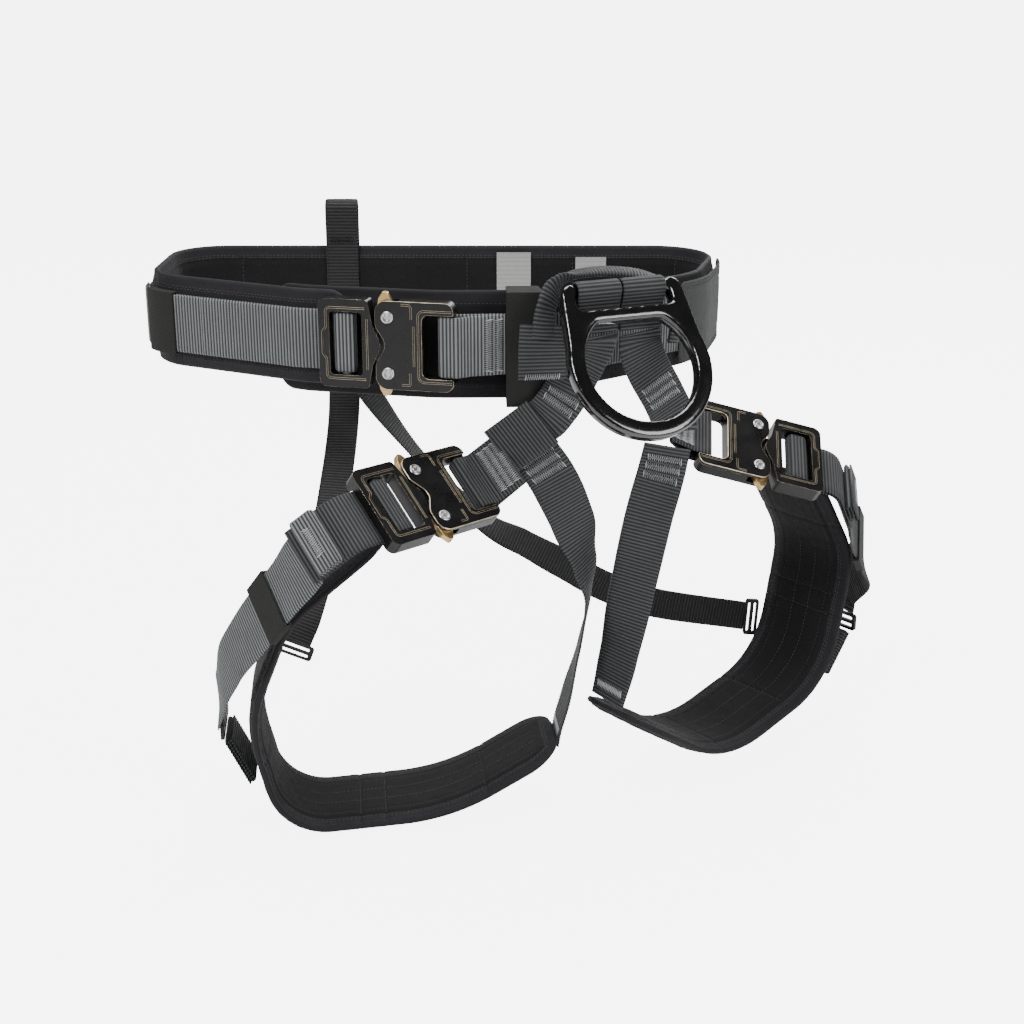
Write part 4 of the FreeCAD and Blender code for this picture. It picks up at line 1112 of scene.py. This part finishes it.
class SADDLE_OT_waist_webbing(BuildOperator, bpy.types.Operator):
    """Build the waist strap, its tail, the loops on its buckle and the haul loop"""
    bl_idname = "saddle.waist_webbing"
    bl_label = "Waist webbing"

    def build(self, sizes, colours):
        width = sizes.webbing_width / MM
        strap = Strip(level(belt_plan(SLIDE_END + 0.3, BELT_LENGTH - 8, LAYER_ONE)), UP, width)
        webbing("waist_webbing", strap, "pale_webbing", ("waist_strap",))
        tail = Strip(level(belt_plan(SLIDE_END + 0.3, TAIL_END, LAYER_TWO)), UP, width)
        webbing("waist_tail_webbing", tail, "pale_webbing", ("waist_tail",))

        place = buckle_frame("waist")

        def plan(corners):
            return [tuple((place @ Vector((x, 0, z)))[:2]) + (radius,) for x, z, radius in corners]

        def end_at(run, offset):
            point = beside_line(spaced(BELT, 1.0, run, run + 2), offset)[0]
            return (point.x, point.y, 0)

        bend = BELT_CORNERS[:3]
        corners = [end_at(SLIDE_END, LAYER_TWO), beside(*bend, LAYER_TWO)] + plan(ADJUSTER_WRAP)
        corners += [beside(*bend, LAYER_ONE), end_at(SLIDE_END, LAYER_ONE)]
        slide = Strip(level(rounded(corners)), UP, width)
        obj = webbing("waist_slide_webbing", slide, "pale_webbing",
                      ("waist_strap_slide",), None)
        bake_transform(obj)

        end = BELT_LENGTH - 4.4
        corners = [end_at(end, LAYER_TWO)] + plan(HOUSING_WRAP) + [end_at(end, LAYER_ONE)]
        held = Strip(level(rounded(corners)), UP, width)
        webbing("waist_buckle_webbing", held, "pale_webbing", ("waist_buckle_loop",))
        tacks = tack(held, 5, span=0.86) + tack(held, 13, span=0.86)
        threads("waist_tacks", tacks, "thread", "grey_webbing", "thread", TACK_THREAD)

        haul = rounded([(91.6, -18, 0), (91.6, 74, 7), (107, 74, 7), (107, -30, 0)])
        strip = Strip([Vector((-82, point.x, point.y)) for point in haul], Vector((1, 0, 0)), 27)
        webbing("haul_webbing", strip, "black_webbing", ("haul_loop",))
        tacks = tack(strip, 60)
        threads("haul_tacks", tacks, "dark_thread", "dark_webbing", "thread", TACK_THREAD)
        for keeper in ("waist_keeper", "front_keeper"):
            softened(keeper, keeper + "_band", "harness", "keeper_weave", "keeper_weave",
                     0.0012)


class SADDLE_OT_leg_pads(BuildOperator, bpy.types.Operator):
    """Build the two padded leg loops with their stitched channels"""
    bl_idname = "saddle.leg_pads"
    bl_label = "Leg pads"

    def build(self, sizes, colours):
        binding = sizes.binding_width / MM
        stitch = {"Length": sizes.stitch_length, "Radius": STITCH_RADIUS}
        ends = {"right": ((30, 30), (26, 26)), "left": ((26, 26), (42, 30))}
        for side, corners in LEG_PADS.items():
            pad = Band(side + "_leg_padding", rounded(corners), leg_plane(side), 85, 10, ends[side])
            pad.seams = [pad.length * share for share in (0.13, 0.3, 0.34, 0.56, 0.76)]
            pad.rows = [-24, 24]
            pad.build("pad_twill", "lining", "binding", "belt_fabric", side + "_leg_pad")
            rows = [pad.rim_line(binding - inset, face, binding) for inset in STITCH_INSETS
                    for face in (1, -1)]
            for across in pad.rows + [-8, 8]:
                rows.append([pad.point(18 + (pad.length - 36) * n / 150, across, -1, binding, 0.05)
                             for n in range(151)])
            for seam in pad.seams:
                rows.append([pad.point(seam, -28 + 2 * n, -1, binding, 0.05) for n in range(29)])
            threads(side + "_leg_stitches", rows, "dark_thread", "belt_fabric", "stitch", stitch)


class SADDLE_OT_leg_webbing(BuildOperator, bpy.types.Operator):
    """Build the straps, keepers and locks of both leg loops"""
    bl_idname = "saddle.leg_webbing"
    bl_label = "Leg webbing"

    def build(self, sizes, colours):
        width = sizes.webbing_width / MM
        for side in ("right", "left"):
            buckle = side + "_leg"
            place = buckle_frame(buckle)
            across = place.to_3x3() @ Vector((0, 1, 0))

            def laid(corners):
                return [place @ Vector((p.x, 0, p.y)) for p in rounded(corners)]

            over = [(*SLIDE_FAR, 0), (*SLIDE_BEND, 22)]
            under = [(-69.4, UNDER_Z, 19.5), (-95.1, -39.5, 0)]
            slide = Strip(laid(over + ADJUSTER_WRAP + under), across, width)
            obj = webbing(side + "_slide_webbing", slide, "dark_webbing",
                          (side + "_strap_slide",), None)
            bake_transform(obj)

            x_end, z_end = HOLD_ENDS[side]
            way = Vector((x_end - 53, z_end + 1)).normalized()
            gap = Vector((-way.y, way.x)) * 1.25
            far = Vector((x_end, z_end)) + way * 4
            corners = [(*(far + gap), 0), (52.5, 4.4, 2.4), (38.5, 4.4, 2.4), (38.5, UNDER_Z, 3),
                       (53, UNDER_Z, 6), (*(far - gap), 0)]
            held = Strip(laid(corners), across, width)
            webbing(side + "_buckle_webbing", held, "dark_webbing",
                    (side + "_buckle_loop",))
            tacks = tack(held, 4) + tack(held, 10) + tack(held, 16)

            corner = Vector(SLIDE_BEND)
            down = (Vector(SLIDE_FAR) - corner).normalized()
            out = Vector((down.y, -down.x))
            fold = [(35, 2.8, 0), (16.4, 2.8, 1.1), (16.4, 5.2, 1.1), (34.6, 5.2, 1.1),
                    (34.6, 7.6, 1.1), (17, 7.6, 0)]
            block = Strip(laid(laid_along(corner, down, out, fold)), across, width)
            cloth = "pale_webbing" if side == "right" else "dark_webbing"
            webbing(side + "_stopper_webbing", block, cloth, (side + "_stopper",))
            tacks += tack(block, block.length - 9, span=0.5)

            plane = leg_plane(side)
            first, last = (Vector(c[:2]) for c in LOCKS[side])
            way = (last - first).normalized()
            away = Vector((-way.y, way.x))
            reach = (last - first).length
            fold = [(reach, -2.4, 0), (1.2, -2.4, 1.1), (1.2, 0, 1.1), (reach - 1.2, 0, 1.1),
                    (reach - 1.2, 2.4, 1.1), (1, 2.4, 0)]
            fold = laid_along(first, way, away, fold)
            wide = (plane(0, 0, 1) - plane(0, 0, 0)).normalized()
            stack = Strip([plane(p.x, p.y, 0) for p in rounded(fold)], wide, width)
            webbing(side + "_lock_webbing", stack, "dark_webbing",
                    (side + "_lock_tab",))
            threads(side + "_leg_tacks", tacks, "thread", "dark_webbing", "thread", TACK_THREAD)

            softened(side + "_leg_keeper", side + "_keeper_band", side + "_keeper", "keeper_weave",
                     "keeper_weave", 0.0006)
            softened(side + "_ladder_lock", side + "_ladder_lock_metal", "harness", "lock_metal",
                     "lock_metal", 0.0006)
        softened("riser_adjusters", "riser_adjuster_metal", "harness", "lock_metal", "lock_metal",
                 0.0005)


class SADDLE_OT_risers(BuildOperator, bpy.types.Operator):
    """Build the risers, crotch straps, leg straps, joining patch and bridge"""
    bl_idname = "saddle.risers"
    bl_label = "Risers"

    def build(self, sizes, colours):
        hung = sizes.riser_width / MM
        widths = {"leg_strap": sizes.webbing_width / MM, "crotch_strap": CROTCH_WIDTH,
                  "rear_riser": REAR_WIDTH, "riser": hung, "bridge": hung, "roll": ROLL_WIDTH}
        thicknesses = {"rear_riser": REAR_THICKNESS, "roll": ROLL_THICKNESS}
        for name, stations in RIBBONS.items():
            kind = name.split("_", 1)[-1]
            points, across = smooth_line(stations)
            strip = Strip(points, across, widths[kind])
            STRIPS[name] = strip
            rear = kind == "rear_riser"
            cloth = "black_webbing" if rear else "dark_webbing"
            cloth = "pale_webbing" if name == "right_leg_strap" else cloth
            webbing(name + "_webbing", strip, cloth,
                    (name.replace("_roll", ""),), thickness=thicknesses.get(kind),
                    rolled=kind == "roll")
        way = Vector((math.cos(PATCH_TURN), 0, math.sin(PATCH_TURN)))
        patch = Strip([PATCH_CENTRE + way * reach for reach in (-PATCH_HALF, 0, PATCH_HALF)],
                      Vector((-math.sin(PATCH_TURN), 0, math.cos(PATCH_TURN))), 2 * PATCH_HALF)
        webbing("joining_patch", patch, "dark_webbing", ("right_y_patch",),
                thickness=4.4)
        tacks = []
        for name, share, count in (("right_riser", 0.6, 2), ("right_crotch_strap", 0.05, 3),
                                   ("left_crotch_strap", 0.05, 3), ("left_riser", 0.5, 3),
                                   ("bridge", 0.03, 1), ("left_crotch_strap", 0.95, 1),
                                   ("right_crotch_strap", 0.96, 1)):
            strip = STRIPS[name]
            for number in range(count):
                tacks += tack(strip, strip.length * share + 7.5 * number, span=0.72)
        threads("riser_tacks", tacks, "thread", "dark_webbing", "thread", TACK_THREAD)


class SADDLE_OT_ring(BuildOperator, bpy.types.Operator):
    """Build the large front ring and the webbing eyes that hold it"""
    bl_idname = "saddle.ring"
    bl_label = "Ring"

    def build(self, sizes, colours):
        forged("d_ring", "front_ring", "ring", "ring_coat", 0.001, 80)
        place = ring_frame()
        hinge = Vector(JOINTS["ring_swing"]["pos_m"]) / MM
        bar_y = (place.inverted() @ hinge).y
        down = Vector((-math.cos(RING_LEAN), -math.sin(RING_LEAN)))
        side = Vector((-down.y, down.x))
        across = place.to_3x3() @ Vector((1, 0, 0))
        for name, middle in (("right_sling", -SLING_MIDDLE), ("left_sling", SLING_MIDDLE)):
            flat = [down * 31 + side * 1.35, down * 18 + side * 1.35]
            for index in range(25):
                turn = math.radians(65 + 230 * index / 24)
                flat.append((down * math.cos(turn) + side * math.sin(turn)) * SLING_RADIUS)
            flat += [down * 18 - side * 1.35, down * 31 - side * 1.35]
            points = [place @ Vector((middle, bar_y + p.x, p.y)) for p in flat]
            strip = Strip(points, across, sizes.riser_width / MM)
            webbing(name + "_webbing", strip, "dark_webbing", (name,))
            STRIPS[name] = strip


class SADDLE_OT_buckles(BuildOperator, bpy.types.Operator):
    """Build the three quick-release buckles with worn edges, rivets and engraved lines"""
    bl_idname = "saddle.buckles"
    bl_label = "Buckles"

    def build(self, sizes, colours):
        edge = sizes.edge_round
        for name in BUCKLES:
            place = buckle_frame(name)
            for part in ("housing_front", "housing_back"):
                softened(name + "_" + part, name + "_" + part + "_plate", "harness", "black_coat",
                         "worn_edge", edge)
            softened(name + "_male_frame", name + "_male_plate", name + "_male", "black_coat",
                     "worn_edge", edge)
            softened(name + "_adjuster_bar", name + "_adjuster_rod", name + "_bar", "steel", "steel",
                     0.0012)
            for level_name, letter in (("upper", "a"), ("lower", "b")):
                softened(name + "_lever_" + level_name, name + "_lever_" + level_name + "_brass",
                         name + "_lever_" + letter, "lever_brass", "lever_brass", 0.0007)
            self.rivets(name, place)
            self.engraving(name, place)

    def rivets(self, name, place):
        """Flanged rivet heads with a sunk centre on both faces, and their shanks."""
        profile = [(0.0, 6.35), (1.7, 6.35), (2.0, 6.1), (2.5, 6.1), (2.8, 6.9), (3.4, 7.15),
                   (4.1, 7.0), (4.6, 6.5), (4.6, 5.9), (2.45, 5.9)]
        profile += [(r, -z) for r, z in reversed(profile)]
        segments = 36
        vertices, faces = [], []
        for sign in (1, -1):
            base = len(vertices)
            for radius, height in profile[1:-1]:
                for n in range(segments):
                    turn = 2 * math.pi * n / segments
                    vertices.append(place @ Vector((radius * math.cos(turn),
                                                    sign * RIVET_REACH + radius * math.sin(turn),
                                                    height)))
            rings = len(profile) - 2
            for ring in range(rings - 1):
                for n in range(segments):
                    a = base + ring * segments + n
                    b = base + ring * segments + (n + 1) % segments
                    faces.append((a, b, b + segments, a + segments))
            faces.append(tuple(base + n for n in range(segments)))
            faces.append(tuple(base + (rings - 1) * segments + n for n in range(segments)))
        obj = mesh_from(name + "_rivet_heads", vertices, faces)
        obj.data.set_sharp_from_angle(angle=math.radians(40))
        obj.data.materials.append(MATERIALS["steel"])
        face_out(obj)
        settle(obj, "harness", (name + "_rivets",))

    def engraving(self, name, place):
        """Shallow bright lines round the slots, on the front face."""
        housing = [
            [(48.5, 27.2, 0), (22.6, 27.2, 5), (22.6, -27.2, 5), (48.5, -27.2, 0)],
            [(19.2, 15.0, 0), (19.2, -15.0, 0)],
            [(10.5, 29.8, 0), (17.5, 29.8, 2), (17.5, 20, 0)],
            [(10.5, -29.8, 0), (17.5, -29.8, 2), (17.5, -20, 0)],
        ]
        male = [
            [(-17, 27.2, 0), (-47.6, 27.2, 4), (-47.6, 12, 1), (-50.4, 8.5, 1), (-50.4, -8.5, 1),
             (-47.6, -12, 1), (-47.6, -27.2, 4), (-17, -27.2, 0)],
            [(-16.2, 19, 0), (-16.2, -19, 0)],
        ]
        for lines, piece, body in ((housing, "housing", "harness"), (male, "male", name + "_male")):
            drawn = []
            for line in lines:
                for offset in ENGRAVED_PAIR:
                    drawn.append([place @ Vector((p.x, p.y, ENGRAVED_HEIGHT))
                                  for p in beside_line(rounded(line), offset)])
            threads(name + "_" + piece + "_engraving", drawn, "engraving", "buckle_coat", "thread",
                    ENGRAVED_LINE, body)


class SADDLE_OT_stage(BuildOperator, bpy.types.Operator):
    """Set the floor, the soft studio light and the camera"""
    bl_idname = "saddle.stage"
    bl_label = "Stage"

    def build(self, sizes, colours):
        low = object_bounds()[0]
        tree = Paint("pale_floor", {"Roughness": 0.9, "Specular IOR Level": 0.1,
                                    "Base Color": (0.9, 0.9, 0.9, 1)})
        seen = tree.add("ShaderNodeLightPath")
        glow = tree.add("ShaderNodeEmission", None, {"Strength": 10.0})
        lit = Wire(tree, tree.surface.outputs[0])
        blend = tree.add("ShaderNodeMixShader", None, {0: seen * 0.6, 1: lit, 2: glow})
        output = next(node for node in tree.tree.nodes if node.type == "OUTPUT_MATERIAL")
        tree.tree.links.new(blend.socket, output.inputs["Surface"])
        floor = mesh_from("floor", [Vector((x, y, low[2] / MM - 1)) for x, y in
                                    ((-60000, -60000), (60000, -60000), (60000, 60000), (-60000, 60000))],
                          [(0, 1, 2, 3)], None, False)
        floor.data.materials.append(MATERIALS["pale_floor"])
        floor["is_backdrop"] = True
        world = bpy.data.worlds.new("studio")
        bpy.context.scene.world = world
        world.use_nodes = True
        world.node_tree.nodes["Background"].inputs["Color"].default_value = (1, 1, 1, 1)
        sky = Tree(world.node_tree)
        seen = sky.add("ShaderNodeLightPath")
        glossy = Wire(sky, seen.socket.node.outputs["Is Glossy Ray"])
        strength = seen * 6.0 + 0.6 - glossy * 0.52
        world.node_tree.links.new(strength.socket,
                                  world.node_tree.nodes["Background"].inputs["Strength"])
        lamps = (("key", (-0.9, -1.5, 1.5), 44, 0.8), ("fill", (1.5, -1.2, 0.7), 22, 0.9),
                 ("top", (0.1, 0.3, 1.9), 40, 1.2), ("rim", (0.9, 1.6, 1.1), 24, 1.0))
        for name, place, power, size in lamps:
            light = bpy.data.lights.new(name, "AREA")
            light.energy = power
            light.size = size
            lamp = bpy.data.objects.new(name, light)
            lamp.location = place
            aim = Vector((0.06, -0.05, -0.12)) - Vector(place)
            lamp.rotation_euler = aim.to_track_quat("-Z", "Y").to_euler()
            bpy.context.scene.collection.objects.link(lamp)
        camera = bpy.data.objects.new("camera", bpy.data.cameras.new("camera"))
        camera.data.lens = 57.0
        camera.location = (0.062, -1.2817, 0.2708)
        camera.rotation_euler = (math.radians(71), 0, 0)
        bpy.context.scene.collection.objects.link(camera)
        bpy.context.scene.camera = camera


OPERATORS = (SADDLE_OT_materials, SADDLE_OT_belt, SADDLE_OT_waist_webbing, SADDLE_OT_leg_pads,
             SADDLE_OT_leg_webbing, SADDLE_OT_risers, SADDLE_OT_ring, SADDLE_OT_buckles,
             SADDLE_OT_stage)


class SADDLE_PT_panel(bpy.types.Panel):
    """Lists the saddle's sizes, colours and build steps"""
    bl_idname = "SADDLE_PT_panel"
    bl_label = "Tree climbing saddle"
    bl_space_type = "VIEW_3D"
    bl_region_type = "UI"
    bl_category = "Saddle"

    def draw(self, context):
        for group in (context.scene.saddle_sizes, context.scene.saddle_colours):
            for name in group.__annotations__:
                self.layout.prop(group, name)
        for operator in OPERATORS:
            self.layout.operator(operator.bl_idname)


CLASSES = (SaddleSizes, SaddleColours) + OPERATORS + (SADDLE_PT_panel,)


def register():
    for each in CLASSES:
        bpy.utils.register_class(each)
    bpy.types.Scene.saddle_sizes = bpy.props.PointerProperty(type=SaddleSizes)
    bpy.types.Scene.saddle_colours = bpy.props.PointerProperty(type=SaddleColours)


def unregister():
    del bpy.types.Scene.saddle_colours
    del bpy.types.Scene.saddle_sizes
    for each in reversed(CLASSES):
        bpy.utils.unregister_class(each)


def main():
    register()
    for operator in OPERATORS:
        group, name = operator.bl_idname.split(".")
        getattr(getattr(bpy.ops, group), name)()


if __name__ == "__main__":
    main()
